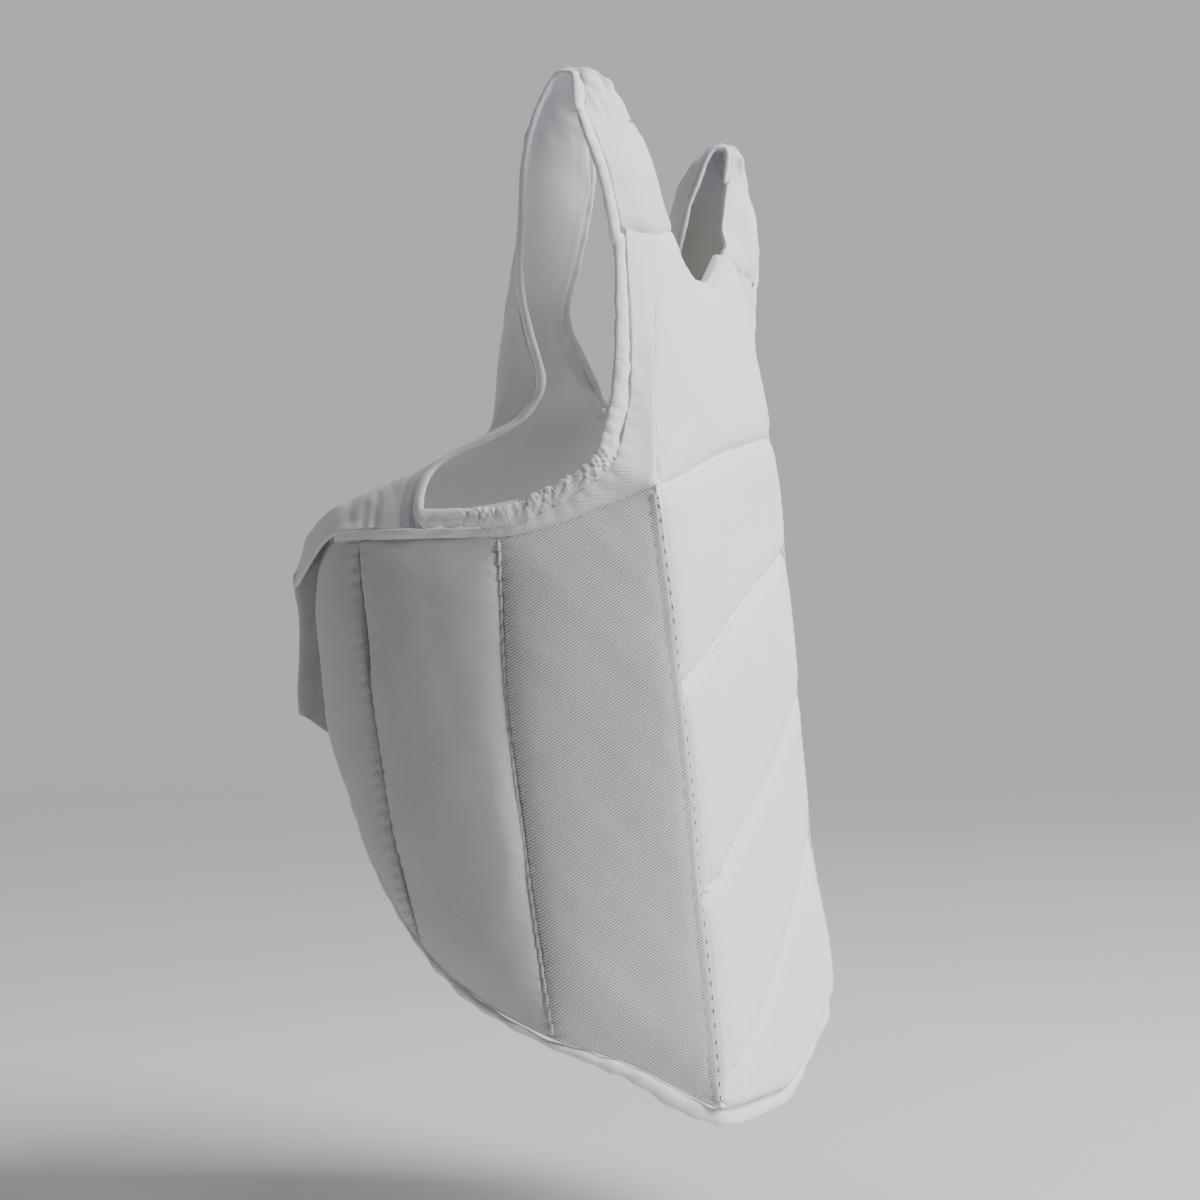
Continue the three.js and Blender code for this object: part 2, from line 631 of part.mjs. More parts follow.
// Points and normals of a sheet: rows along it, columns across it.
function sheetGrid(points) {
  const lastRow = points.length - 1;
  const lastColumn = points[0].length - 1;
  return points.map((line, i) =>
    line.map((point, j) => {
      const along = points[Math.min(i + 1, lastRow)][j].clone().sub(points[Math.max(i - 1, 0)][j]);
      const across = line[Math.min(j + 1, lastColumn)].clone().sub(line[Math.max(j - 1, 0)]);
      const normal = unit(cross(along, across));
      if (Math.abs(point.x) < GAP / 10) normal.setX(0).normalize();
      return { point, normal };
    }),
  );
}

function sheetRows(grid, fold = () => 0) {
  return grid.map((line, i) =>
    line.map(({ point, normal }, j) => {
      const lift = fold(i, j);
      return {
        outer: point.clone().addScaledVector(normal, lift + CLOTH / 2),
        inner: point.clone().addScaledVector(normal, lift - CLOTH / 2),
      };
    }),
  );
}

// The edges of a sheet are cut back to leave room for the rolls that are sewn along them.
function cutBack(row, armholeRoll, neckRoll = 0) {
  const inward = unit(row.ridge.clone().sub(row.armhole));
  const outward = unit(row.ridge.clone().sub(row.neck));
  return {
    ...row,
    armhole: row.armhole.clone().addScaledVector(inward, armholeRoll + GAP),
    neck: row.neck.clone().addScaledVector(outward, neckRoll * (1 - row.joined)),
  };
}

// Oval roll along an edge of a sheet. side is 1 for the armhole edge and -1 for the neck edge.
function edgeRoll(line, side, width, thickness) {
  const last = line.length - 1;
  return bar(
    line.map(({ point, normal }, i) => {
      const run = unit(line[Math.min(i + 1, last)].point.clone().sub(line[Math.max(i - 1, 0)].point));
      const across = unit(cross(run, normal)).multiplyScalar(side);
      return {
        centre: point.clone().addScaledVector(across, width / 2 + GAP),
        across,
        normal: unit(cross(across, run)),
        halfWidth: width / 2,
        halfThickness: thickness / 2,
      };
    }),
  );
}

function tableRows(sections, leans) {
  return sections.map((row, i) => ({
    armhole: place(row.armhole),
    ridge: place(row.ridge),
    neck: place(row.neck),
    joined: row.joined ?? 0,
    lean: (leans[i] ?? [0, 0]).map((share) => share * FRONT_REACH),
  }));
}

function denseRows(rows, steps) {
  const at = smoothRows(rows, rowNumbers(rows), (row) => [
    ...row.armhole.toArray(),
    ...row.ridge.toArray(),
    ...row.neck.toArray(),
    row.joined,
    ...row.lean,
  ]);
  return Array.from({ length: (rows.length - 1) * steps + 1 }, (_, i) => {
    const v = at(i / steps);
    return {
      armhole: new THREE.Vector3(v[0], v[1], v[2]),
      ridge: new THREE.Vector3(v[3], v[4], v[5]),
      neck: new THREE.Vector3(v[6], v[7], v[8]),
      joined: v[9],
      lean: [v[10], v[11]],
    };
  });
}

const yokeRows = denseRows(tableRows(YOKE_SECTIONS, YOKE_LEAN), YOKE_STEPS).map((row, i) =>
  cutBack(row, PIPING_WIDTH, i < NECK_FOOT * YOKE_STEPS ? NECK_BINDING_WIDTH : 0),
);
const pointRows = (rows) => rows.map((row) => YOKE_COLUMNS.map((across) => sectionPoint(row, across)));

function leaning(row) {
  const forward = (point, lean) => point.clone().setY(point.y - lean);
  return { ...row, armhole: forward(row.armhole, row.lean[0]), neck: forward(row.neck, row.lean[1]) };
}

// Both grids stand on the left side. The one for the right side is mirrored where it is used.
const rightYokeGrid = sheetGrid(pointRows(yokeRows));
const leftYokeGrid = sheetGrid(pointRows(yokeRows.map(leaning)));

function yoke() {
  const gather = (i) => Math.max(0, 1 - Math.abs(i / YOKE_STEPS - GATHER_ROWS.middle) / GATHER_ROWS.spread);
  const fold = (i, j) => {
    const inside = j > 0 && j < YOKE_COLUMNS.length - 1;
    return inside ? GATHER_FOLD * gather(i) * (j % 2 ? 1 : -1) : 0;
  };
  const left = sheetRows(leftYokeGrid, fold);
  const right = sheetRows(rightYokeGrid, fold).map((row) =>
    row.map(({ outer, inner }) => ({ outer: mirroredNormal(outer), inner: mirroredNormal(inner) })),
  );
  return new Wall().patch(left).patch(right, true).geometry();
}

function armholePiping(grid) {
  return edgeRoll(grid.map((line) => line[0]), 1, PIPING_WIDTH, PIPING_THICKNESS);
}

// Binding down one back strap, round the foot of the neck V and up the other
function neckBinding() {
  const last = YOKE_COLUMNS.length - 1;
  const neckEdge = (grid) => grid.slice(0, NECK_FOOT * YOKE_STEPS + 1).map((line) => line[last]);
  const right = neckEdge(rightYokeGrid).slice(0, -1).reverse().map(mirroredPoint);
  return edgeRoll([...neckEdge(leftYokeGrid), ...right], -1, NECK_BINDING_WIDTH, NECK_BINDING_THICKNESS);
}

// The front strap stands on the mesh and on the top edge of the front pad, and ends short of the yoke.
const padTop = smooth(PAD_TOP.map((row) => row.across), drops(PAD_TOP));

// Foot of the strap: out to half way across it runs along the mesh, and from there along the pad.
function strapFoot(armhole, across) {
  const foam = frontPoint(1, padTop(1));
  if (across < 0.5) return armhole.clone().lerp(foam, across * 2);
  const onPad = THREE.MathUtils.lerp(1, NECK_CORNER, across * 2 - 1);
  return frontPoint(onPad, padTop(onPad));
}

function strapPoints(shape) {
  const foot = {
    armhole: armholeAt(0).edge,
    ridge: frontPoint(1, padTop(1)),
    neck: frontPoint(NECK_CORNER, padTop(NECK_CORNER)),
    lean: [0, 0],
  };
  const onYoke = tableRows(YOKE_SECTIONS, YOKE_LEAN)[0];
  const sections = [foot, ...tableRows(STRAP_SECTIONS, STRAP_LEAN), onYoke];
  const rows = denseRows(sections.map((row) => ({ ...row, joined: 0 })), 2);
  const cut = rows.map((row) => shape(cutBack(row, STRAP_ROLL_WIDTH)));
  const points = pointRows(cut);
  points[0] = YOKE_COLUMNS.map((across) => strapFoot(cut[0].armhole, across));
  const last = points.length - 1;
  return points.map((line, i) => {
    if (i > 0 && i < last) return line;
    const next = points[i === 0 ? 1 : last - 1];
    return line.map((point, j) => point.clone().addScaledVector(unit(next[j].clone().sub(point)), STRAP_GAP));
  });
}

const rightStrapGrid = sheetGrid(strapPoints((row) => row));
const leftStrapGrid = sheetGrid(strapPoints(leaning));

function shoulderStrap(grid) {
  return new Wall().patch(sheetRows(grid)).geometry();
}

function strapRoll(grid) {
  return edgeRoll(grid.map((line) => line[0]), 1, STRAP_ROLL_WIDTH, STRAP_ROLL_THICKNESS);
}

// Closure belt
function closureBelt() {
  const half = BELT_LEVELS.map((level) => {
    const inside = THREE.MathUtils.lerp(BELT_TOP.inside, BELT_FOOT.inside, level);
    const corner = THREE.MathUtils.lerp(BELT_TOP.corner, BELT_FOOT.corner, level);
    const lean = 1 + BELT_LEAN * (1 - level) ** 2;
    const depth = PAD_BACKING + 2 * GAP + BELT_THICKNESS / 2;
    const behindPad = [BELT_START, SEAM.edge].map((around) =>
      flankPoint(around, inside).addScaledVector(flankNormal(around, inside), -depth),
    );
    const across = BELT_ROUTE.map(([side, forward]) => place([side, forward * lean, corner]));
    return [...behindPad, ...across];
  });
  const rows = half.map((route) => {
    const other = route.slice(0, -1).reverse().map(mirroredNormal);
    const curve = new THREE.CatmullRomCurve3([...route, ...other]);
    const steps = 32;
    return Array.from({ length: steps + 1 }, (_, i) => {
      const t = i / steps;
      const point = curve.getPoint(t);
      const normal = unit(cross(curve.getTangent(t), UP)).multiplyScalar(-1);
      return {
        outer: point.clone().addScaledVector(normal, BELT_THICKNESS / 2),
        inner: point.clone().addScaledVector(normal, -BELT_THICKNESS / 2),
      };
    });
  });
  return new Wall().patch(rows).geometry();
}

// Materials
const cloth = (color, roughness) => new THREE.MeshStandardMaterial({ color, roughness, metalness: 0 });
const frontCloth = cloth(0xe6e7ea, 0.55);
const twill = cloth(0xd9dcd8, 0.8);
const meshCloth = cloth(0xdfe2ec, 0.85);
const bindingCloth = cloth(0xe4e6ee, 0.6);
const yokeCloth = cloth(0xdadcd6, 0.75);
const beltCloth = cloth(0xd4d6d6, 0.85);

const guard = new THREE.Group();
guard.name = "chest_protector";

function add(name, geometry, material) {
  const mesh = new THREE.Mesh(hung(geometry), material);
  mesh.name = name;
  guard.add(mesh);
}

function addPair(name, geometry, material, forRight = geometry) {
  add(`${name}_right`, mirrored(forRight), material);
  add(`${name}_left`, geometry, material);
}

add("front_pad", frontPad(), frontCloth);
addPair("side_pad_front", sidePad(SEAM.front, SEAM.middle), twill);
addPair("side_pad_middle", sidePad(SEAM.middle, SEAM.rear), twill);
addPair("side_pad_rear", sidePad(SEAM.rear, SEAM.edge), twill);
add("hem_binding", hem(), bindingCloth);
addPair("armhole_mesh", armholeMesh(), meshCloth);
addPair("armhole_binding", armholeBinding(), bindingCloth);
addPair("shoulder_strap", shoulderStrap(leftStrapGrid), meshCloth, shoulderStrap(rightStrapGrid));
addPair("strap_roll", strapRoll(leftStrapGrid), bindingCloth, strapRoll(rightStrapGrid));
add("back_yoke", yoke(), yokeCloth);
addPair("armhole_piping", armholePiping(leftYokeGrid), bindingCloth, armholePiping(rightYokeGrid));
add("neck_binding", neckBinding(), bindingCloth);
add("closure_belt", closureBelt(), beltCloth);

export default guard;
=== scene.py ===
import json
import math

import bmesh
import bpy
import numpy as np
from bpy.props import FloatProperty, FloatVectorProperty, PointerProperty
from mathutils import Matrix, Vector
from mathutils.bvhtree import BVHTree
from mathutils.kdtree import KDTree

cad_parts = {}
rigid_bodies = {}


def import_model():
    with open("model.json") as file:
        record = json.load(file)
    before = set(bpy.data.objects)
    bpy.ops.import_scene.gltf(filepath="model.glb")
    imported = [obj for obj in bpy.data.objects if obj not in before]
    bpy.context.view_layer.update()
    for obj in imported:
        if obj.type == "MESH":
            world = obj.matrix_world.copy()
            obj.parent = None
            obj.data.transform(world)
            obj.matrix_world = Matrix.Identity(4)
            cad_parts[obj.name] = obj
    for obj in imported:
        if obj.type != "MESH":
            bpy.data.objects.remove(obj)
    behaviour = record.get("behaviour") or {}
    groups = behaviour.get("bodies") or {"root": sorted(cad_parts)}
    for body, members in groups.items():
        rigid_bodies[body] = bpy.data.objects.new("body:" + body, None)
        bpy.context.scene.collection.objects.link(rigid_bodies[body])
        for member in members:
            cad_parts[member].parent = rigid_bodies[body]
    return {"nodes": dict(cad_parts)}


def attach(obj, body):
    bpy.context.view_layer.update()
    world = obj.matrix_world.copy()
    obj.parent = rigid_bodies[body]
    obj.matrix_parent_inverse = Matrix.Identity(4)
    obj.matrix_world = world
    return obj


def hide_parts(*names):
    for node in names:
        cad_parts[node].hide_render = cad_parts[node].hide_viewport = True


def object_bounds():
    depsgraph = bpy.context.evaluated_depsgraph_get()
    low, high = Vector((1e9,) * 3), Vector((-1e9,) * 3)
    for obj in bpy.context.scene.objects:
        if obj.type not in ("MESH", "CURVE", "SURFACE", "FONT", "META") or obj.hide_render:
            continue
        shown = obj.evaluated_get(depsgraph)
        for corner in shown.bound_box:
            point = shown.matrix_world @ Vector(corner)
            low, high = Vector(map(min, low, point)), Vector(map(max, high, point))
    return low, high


bl_info = {
    "name": "Chest Protector",
    "version": (1, 0, 0),
    "blender": (4, 5, 0),
    "location": "View3D > Sidebar > Chest Protector",
    "description": "Covers, bindings, stitching and stage for a padded chest guard",
    "category": "Object",
}

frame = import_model()
CAD_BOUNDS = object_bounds()
NODES = frame["nodes"]
SIDES = ("right", "left")
MM = 0.001


# Settings


class GuardSizes(bpy.types.PropertyGroup):
    stitch_length: FloatProperty(
        name="Stitch length", description="Length of one stitch on the seams", default=0.0031, unit="LENGTH"
    )
    stitch_pitch: FloatProperty(
        name="Stitch pitch", description="From one stitch to the next", default=0.0043, unit="LENGTH"
    )
    dash_pitch: FloatProperty(
        name="Dash pitch", description="From one long stitch of the front seams to the next", default=0.0083, unit="LENGTH"
    )
    thread: FloatProperty(name="Thread", description="Thickness of the thread", default=0.0008, unit="LENGTH")
    seam_margin: FloatProperty(
        name="Seam margin", description="From a seam to its row of stitches", default=0.0034, unit="LENGTH"
    )
    twill_pitch: FloatProperty(
        name="Twill pitch", description="From one rib of the twill to the next", default=0.00155, unit="LENGTH"
    )
    eyelet_pitch: FloatProperty(
        name="Eyelet pitch", description="From one eyelet of the stretch mesh to the next", default=0.0021, unit="LENGTH"
    )
    ridge_width: FloatProperty(
        name="Cord width", description="Width of the puckered cord on a side seam", default=0.0026, unit="LENGTH"
    )
    ridge_pitch: FloatProperty(
        name="Cord pitch", description="From one pucker of the cord to the next", default=0.0084, unit="LENGTH"
    )
    wrinkle: FloatProperty(
        name="Wrinkle depth", description="Depth of the soft unevenness of the covers", default=0.0007, unit="LENGTH"
    )
    groove: FloatProperty(
        name="Groove depth", description="How much deeper the grooves are pressed", default=0.0012, unit="LENGTH"
    )
    gather: FloatProperty(
        name="Gather height", description="Height of the gathers in the armhole binding", default=0.001, unit="LENGTH"
    )
    gather_pitch: FloatProperty(
        name="Gather pitch", description="From one gather of the armhole binding to the next", default=0.0118, unit="LENGTH"
    )
    fold: FloatProperty(
        name="Fold depth", description="Depth of the folds in the lower arms of the yoke", default=0.0032, unit="LENGTH"
    )


class GuardColours(bpy.types.PropertyGroup):
    cover: FloatVectorProperty(
        name="Front cover", description="Smooth cover of the front pad", subtype="COLOR", default=(0.83, 0.83, 0.855)
    )
    twill: FloatVectorProperty(
        name="Twill", description="Ribbed cover of the front side pads", subtype="COLOR", default=(0.93, 0.935, 0.93)
    )
    # Painted shade: the middle and rear pads are covered in the same twill as the front ones, darkened here for the
    # shade they are in.
    shaded_twill: FloatVectorProperty(
        name="Shaded twill", description="Fine cover of the middle and rear pads", subtype="COLOR", default=(0.62, 0.62, 0.585)
    )
    mesh: FloatVectorProperty(
        name="Stretch mesh", description="Knit of the armholes and straps", subtype="COLOR", default=(0.8, 0.81, 0.84)
    )
    binding: FloatVectorProperty(
        name="Binding", description="Smooth edge binding and piping", subtype="COLOR", default=(0.84, 0.845, 0.87)
    )
    yoke: FloatVectorProperty(
        name="Yoke", description="Padded cloth of the back yoke", subtype="COLOR", default=(0.88, 0.872, 0.825)
    )
    # Painted shade: this dark grey is laid in a strip along the armhole piping of the yoke and, fainter, inside its
    # neck binding, where the cloth near its edges is in shade.
    facing: FloatVectorProperty(
        name="Facing", description="Bands sewn along the armhole edge of the yoke", subtype="COLOR", default=(0.6, 0.62, 0.66)
    )
    # Painted shade: the belt's grey is darkened for the shade it hangs in at the back.
    belt: FloatVectorProperty(
        name="Belt", description="Brushed cloth of the closing belt", subtype="COLOR", default=(0.52, 0.52, 0.5)
    )
    # Painted shade: the long stitches of the front seams are drawn in this dark colour for the shade in the dimples
    # where the thread pulls the cloth down.
    sunk: FloatVectorProperty(
        name="Sunk thread", description="Thread pulled down into a seam", subtype="COLOR", default=(0.2, 0.205, 0.205)
    )
    thread: FloatVectorProperty(
        name="Thread", description="Sewing thread", subtype="COLOR", default=(0.88, 0.88, 0.89)
    )


# Mesh helpers


def deselect():
    for obj in bpy.context.view_layer.objects:
        obj.select_set(False)


def make_active(obj):
    deselect()
    obj.select_set(True)
    bpy.context.view_layer.objects.active = obj


def link(name, mesh):
    obj = bpy.data.objects.new(name, mesh)
    bpy.context.scene.collection.objects.link(obj)
    make_active(obj)
    return obj


def points_of(obj):
    co = np.empty(len(obj.data.vertices) * 3)
    obj.data.vertices.foreach_get("co", co)
    return co.reshape(-1, 3)


def normals_of(obj):
    no = np.empty(len(obj.data.vertices) * 3)
    obj.data.vertices.foreach_get("normal", no)
    return no.reshape(-1, 3)


def set_points(obj, co):
    obj.data.vertices.foreach_set("co", np.asarray(co, float).ravel())
    obj.data.update()


def cloth_copy(node, name, levels, crease=0.0, sharp=50, valley=180):
    """A merged copy of a solid in quads, with its sharp edges creased, made smooth by subdivision."""
    obj = link(name, NODES[node].data.copy())
    obj.data.materials.clear()
    bpy.ops.object.mode_set(mode="EDIT")
    bpy.ops.mesh.select_all(action="SELECT")
    bpy.ops.mesh.remove_doubles(threshold=0.00003)
    bpy.ops.mesh.tris_convert_to_quads(face_threshold=math.radians(80), shape_threshold=math.radians(80))
    bpy.ops.object.mode_set(mode="OBJECT")
    if crease:
        bm = bmesh.new()
        bm.from_mesh(obj.data)
        layer = bm.edges.layers.float.get("crease_edge") or bm.edges.layers.float.new("crease_edge")
        for edge in bm.edges:
            if len(edge.link_faces) != 2:
                continue
            turn = edge.calc_face_angle_signed()
            if abs(turn) > math.radians(sharp):
                edge[layer] = crease
            if turn < -math.radians(valley):
                edge[layer] = 1.0
        bm.to_mesh(obj.data)
        bm.free()
    smooth = obj.modifiers.new("Smooth", "SUBSURF")
    smooth.levels = smooth.render_levels = levels
    smooth.uv_smooth = "NONE"
    bpy.ops.object.modifier_apply(modifier=smooth.name)
    bpy.ops.object.shade_smooth()
    return obj


def soft_noise(co, scale, seed, waves=9):
    """Smooth unevenness from -1 to 1, with features about as large as scale."""
    random = np.random.RandomState(seed)
    value = np.zeros(len(co))
    for _ in range(waves):
        direction = random.normal(size=3)
        direction /= np.linalg.norm(direction)
        frequency = 2 * math.pi / (scale * random.uniform(0.7, 1.6))
        value += np.sin(co @ direction * frequency + random.uniform(0, 6.28))
    return value / math.sqrt(waves)


def ease(x, low, high):
    t = np.clip((x - low) / (high - low), 0, 1)
    return t * t * (3 - 2 * t)


def displace(obj, amount):
    set_points(obj, points_of(obj) + normals_of(obj) * np.asarray(amount)[:, None])


def outward_of(co):
    """Level direction from the middle of the trunk to each point."""
    away = np.stack([co[:, 0], co[:, 1] - 0.02, np.zeros(len(co))], axis=1)
    return away / np.linalg.norm(away, axis=1)[:, None]


def outside_of(obj):
    """1 on the faces that look away from the trunk, 0 on the inner ones."""
    return ease((normals_of(obj) * outward_of(points_of(obj))).sum(1), 0.15, 0.6)


def distance_to(samples, co):
    """Distance from each point to the nearest of some samples."""
    tree = KDTree(len(samples))
    for k, point in enumerate(samples):
        tree.insert(point, k)
    tree.balance()
    return np.array([tree.find(point)[2] for point in co])


def valleys(node, angle=9):
    """Points along the grooves pressed into the outer face of a pad."""
    bm = bmesh.new()
    bm.from_mesh(NODES[node].data)
    bmesh.ops.remove_doubles(bm, verts=bm.verts, dist=0.00003)
    found = []
    for edge in bm.edges:
        if len(edge.link_faces) != 2 or edge.calc_face_angle_signed() > -math.radians(angle):
            continue
        if max(f.normal.y for f in edge.link_faces) > 0.3:
            continue
        a, b = (v.co for v in edge.verts)
        count = max(int((b - a).length / 0.001), 1)
        found.extend(tuple(a.lerp(b, t / count)) for t in range(count + 1))
    bm.free()
    return found


def meet(obj, others, reach=0.0035, overlap=0.0006):
    """Draws the edge of a piece on to the pieces it is sewn to, so that no light shows through the seam."""
    co = points_of(obj)
    nearest = np.full(len(co), reach)
    pull = np.zeros_like(co)
    for other in others:
        tree = tree_of(other)
        lo = np.array(other.bound_box).min(0) - reach
        hi = np.array(other.bound_box).max(0) + reach
        for k in np.nonzero(((co > lo) & (co < hi)).all(1))[0]:
            place, _, _, gap = tree.find_nearest(Vector(co[k]), float(nearest[k]))
            if place is not None and gap > 1e-6:
                nearest[k] = gap
                pull[k] = (np.array(place) - co[k]) / gap
    weight = 1 - ease(nearest, 0.4 * reach, reach)
    set_points(obj, co + pull * ((nearest + overlap) * weight)[:, None])


def gathers(along, pitch, sharpness=0.7):
    """Rounded swellings with narrow creases between them, from -1 to 1."""
    return 2 * np.abs(np.sin(math.pi * along / pitch)) ** sharpness - 1


def paint_weights(obj, name, value):
    """Keeps a value from 0 to 1 on each vertex, for the material to read."""
    layer = obj.data.attributes.new(name, "FLOAT", "POINT")
    layer.data.foreach_set("value", np.asarray(value, np.float32))


def dress(obj, material, nodes):
    """Gives a piece its material and its place in the frame."""
    obj.data.materials.clear()
    obj.data.materials.append(material)
    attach(obj, "root")
    if nodes:
        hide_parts(*nodes)
    return obj


# Lines on the pieces


def smoothed_rows(rows, window):
    """Rows of values evened out from one row to the next, with their normals kept at length 1."""
    kernel = np.ones(window) / window
    padded = np.pad(rows, ((window // 2, window // 2), (0, 0), (0, 0)), mode="edge")
    even = np.apply_along_axis(lambda run: np.convolve(run, kernel, mode="valid"), 0, padded)
    even[:, :, 3:] /= np.linalg.norm(even[:, :, 3:], axis=2)[:, :, None]
    return even


def skin(rows, wide, shift):
    """Faces of a closed strip: an outer grid, the same grid shift points on as its inner face, and the rim."""
    faces = []
    for base, flip in ((0, False), (shift, True)):
        for i in range(rows - 1):
            for j in range(wide - 1):
                a = base + i * wide + j
                quad = (a, a + 1, a + wide + 1, a + wide)
                faces.append(quad[::-1] if flip else quad)
    rim = [i * wide for i in range(rows)] + [(rows - 1) * wide + j for j in range(1, wide)]
    rim += [i * wide + wide - 1 for i in range(rows - 2, -1, -1)] + [j for j in range(wide - 2, 0, -1)]
    for a, b in zip(rim, rim[1:] + rim[:1]):
        faces.append((a, b, b + shift, a + shift))
    return faces


class Line:
    """A route of points, resampled evenly, that can be asked for distance and place along it."""

    def __init__(self, points, step=0.002):
        points = np.asarray(points, float)
        lengths = np.r_[0, np.cumsum(np.linalg.norm(np.diff(points, axis=0), axis=1))]
        self.length = lengths[-1]
        count = max(int(self.length / step), 2)
        self.along = np.linspace(0, self.length, count + 1)
        self.points = np.stack([np.interp(self.along, lengths, points[:, k]) for k in range(3)], axis=1)

    def rounded(self, window=5):
        kernel = np.ones(window) / window
        padded = np.pad(self.points, ((window // 2, window // 2), (0, 0)), mode="edge")
        inner = np.stack([np.convolve(padded[:, k], kernel, mode="valid") for k in range(3)], axis=1)
        inner[0], inner[-1] = self.points[0], self.points[-1]
        self.points = inner
        return self

    def distance(self, co):
        """Distance from each point to the line, and the place along the line nearest to it."""
        best = np.full(len(co), 1e9)
        where = np.zeros(len(co))
        for point, along in zip(self.points, self.along):
            gap = ((co - point) ** 2).sum(1)
            nearer = gap < best
            best[nearer] = gap[nearer]
            where[nearer] = along
        return np.sqrt(best), where

    def tangents(self):
        run = np.gradient(self.points, axis=0)
        return run / np.linalg.norm(run, axis=1)[:, None]


def merged_points(node):
    return np.unique(np.round(points_of(NODES[node]), 6), axis=0)


def tree_of(obj):
    mesh = obj.data
    return BVHTree.FromPolygons([v.co for v in mesh.vertices], [p.vertices for p in mesh.polygons])


def shared_edge(node, other, reach, key):
    """Outer points of a node's edge where it meets another node, in order of key."""
    tree = tree_of(NODES[other])
    near = [p for p in merged_points(node) if (tree.find_nearest(Vector(p), reach)[0]) is not None]
    near = np.array(sorted(near, key=key))
    groups = []
    for point in near:
        if groups and abs(key(point) - key(groups[-1][-1])) < 0.0022:
            groups[-1].append(point)
        else:
            groups.append([point])
    outer = [max(g, key=lambda p: math.hypot(p[0], p[1] - 0.02)) for g in groups]
    return Line(outer).rounded()


def on_surface(tree, point, outward, reach=0.012):
    """The point of a surface that is met from outside, and its normal."""
    start = Vector(point) + Vector(outward) * reach
    hit, normal, _, _ = tree.ray_cast(start, -Vector(outward), 2 * reach)
    if hit is None:
        hit, normal, _, _ = tree.find_nearest(Vector(point), reach)
    return hit, normal


# Stitches


def one_stitch(length, thread):
    """Points and faces of a single stitch: a rounded length of thread that dips at both ends."""
    deselect()
    bpy.ops.mesh.primitive_uv_sphere_add(segments=6, ring_count=6, radius=0.5)
    obj = bpy.context.object
    bpy.ops.transform.rotate(value=math.pi / 2, orient_axis="Y", center_override=(0, 0, 0))
    bpy.ops.object.transform_apply()
    co = points_of(obj)
    side = np.sqrt(np.clip(1 - (2 * np.abs(co[:, 0])) ** 4, 0.05, 1))
    radius = np.maximum(np.hypot(co[:, 1], co[:, 2]), 1e-9)
    co[:, 1] *= thread * side / (2 * radius) * (radius > 1e-6)
    co[:, 2] *= thread * side / (2 * radius) * (radius > 1e-6)
    co[:, 2] -= thread * 0.9 * (2 * co[:, 0]) ** 4
    co[:, 0] *= length
    faces = [tuple(p.vertices) for p in obj.data.polygons]
    mesh = obj.data
    bpy.data.objects.remove(obj)
    bpy.data.meshes.remove(mesh)
    return co, faces


def stitch_places(line, tree, shift=0.0, pitch=0.0043, outward=None):
    """Place, direction and normal of each stitch on a surface, shift to the side of a line."""
    places = []
    run = line.tangents()
    for s in np.arange(pitch / 2, line.length, pitch):
        i = int(np.argmin(np.abs(line.along - s)))
        point, along = line.points[i], run[i]
        out = np.array([point[0], point[1] - 0.02, 0.0]) if outward is None else outward(point)
        out = out / np.linalg.norm(out)
        hit, normal = on_surface(tree, point, out)
        if hit is None:
            continue
        if normal.dot(Vector(out)) < 0:
            normal = -normal
        side = normal.cross(Vector(along)).normalized()
        if shift:
            hit, normal = on_surface(tree, hit + side * shift, normal)
            if hit is None:
                continue
        along = (Vector(along) - normal * normal.dot(Vector(along))).normalized()
        places.append((hit, along, normal))
    return places


def stitches(name, places, length, thread, slant=0.12):
    """One mesh of copies of the stitch, each a little turned, as a machine lays them."""
    shape, faces = one_stitch(length, thread)
    points, polygons = [], []
    for k, (place, along, normal) in enumerate(places):
        turn = Matrix.Rotation(slant + 0.05 * math.sin(k * 2.3), 3, normal)
        x = turn @ along
        y = normal.cross(x)
        basis = np.array([x, y, normal])
        base = len(points)
        points.extend((shape @ basis + np.array(place)).tolist())
        polygons.extend(tuple(base + v for v in f) for f in faces)
    mesh = bpy.data.meshes.new(name)
    mesh.from_pydata(points, [], polygons)
    obj = link(name, mesh)
    bpy.ops.object.shade_smooth()
    return obj


# Materials


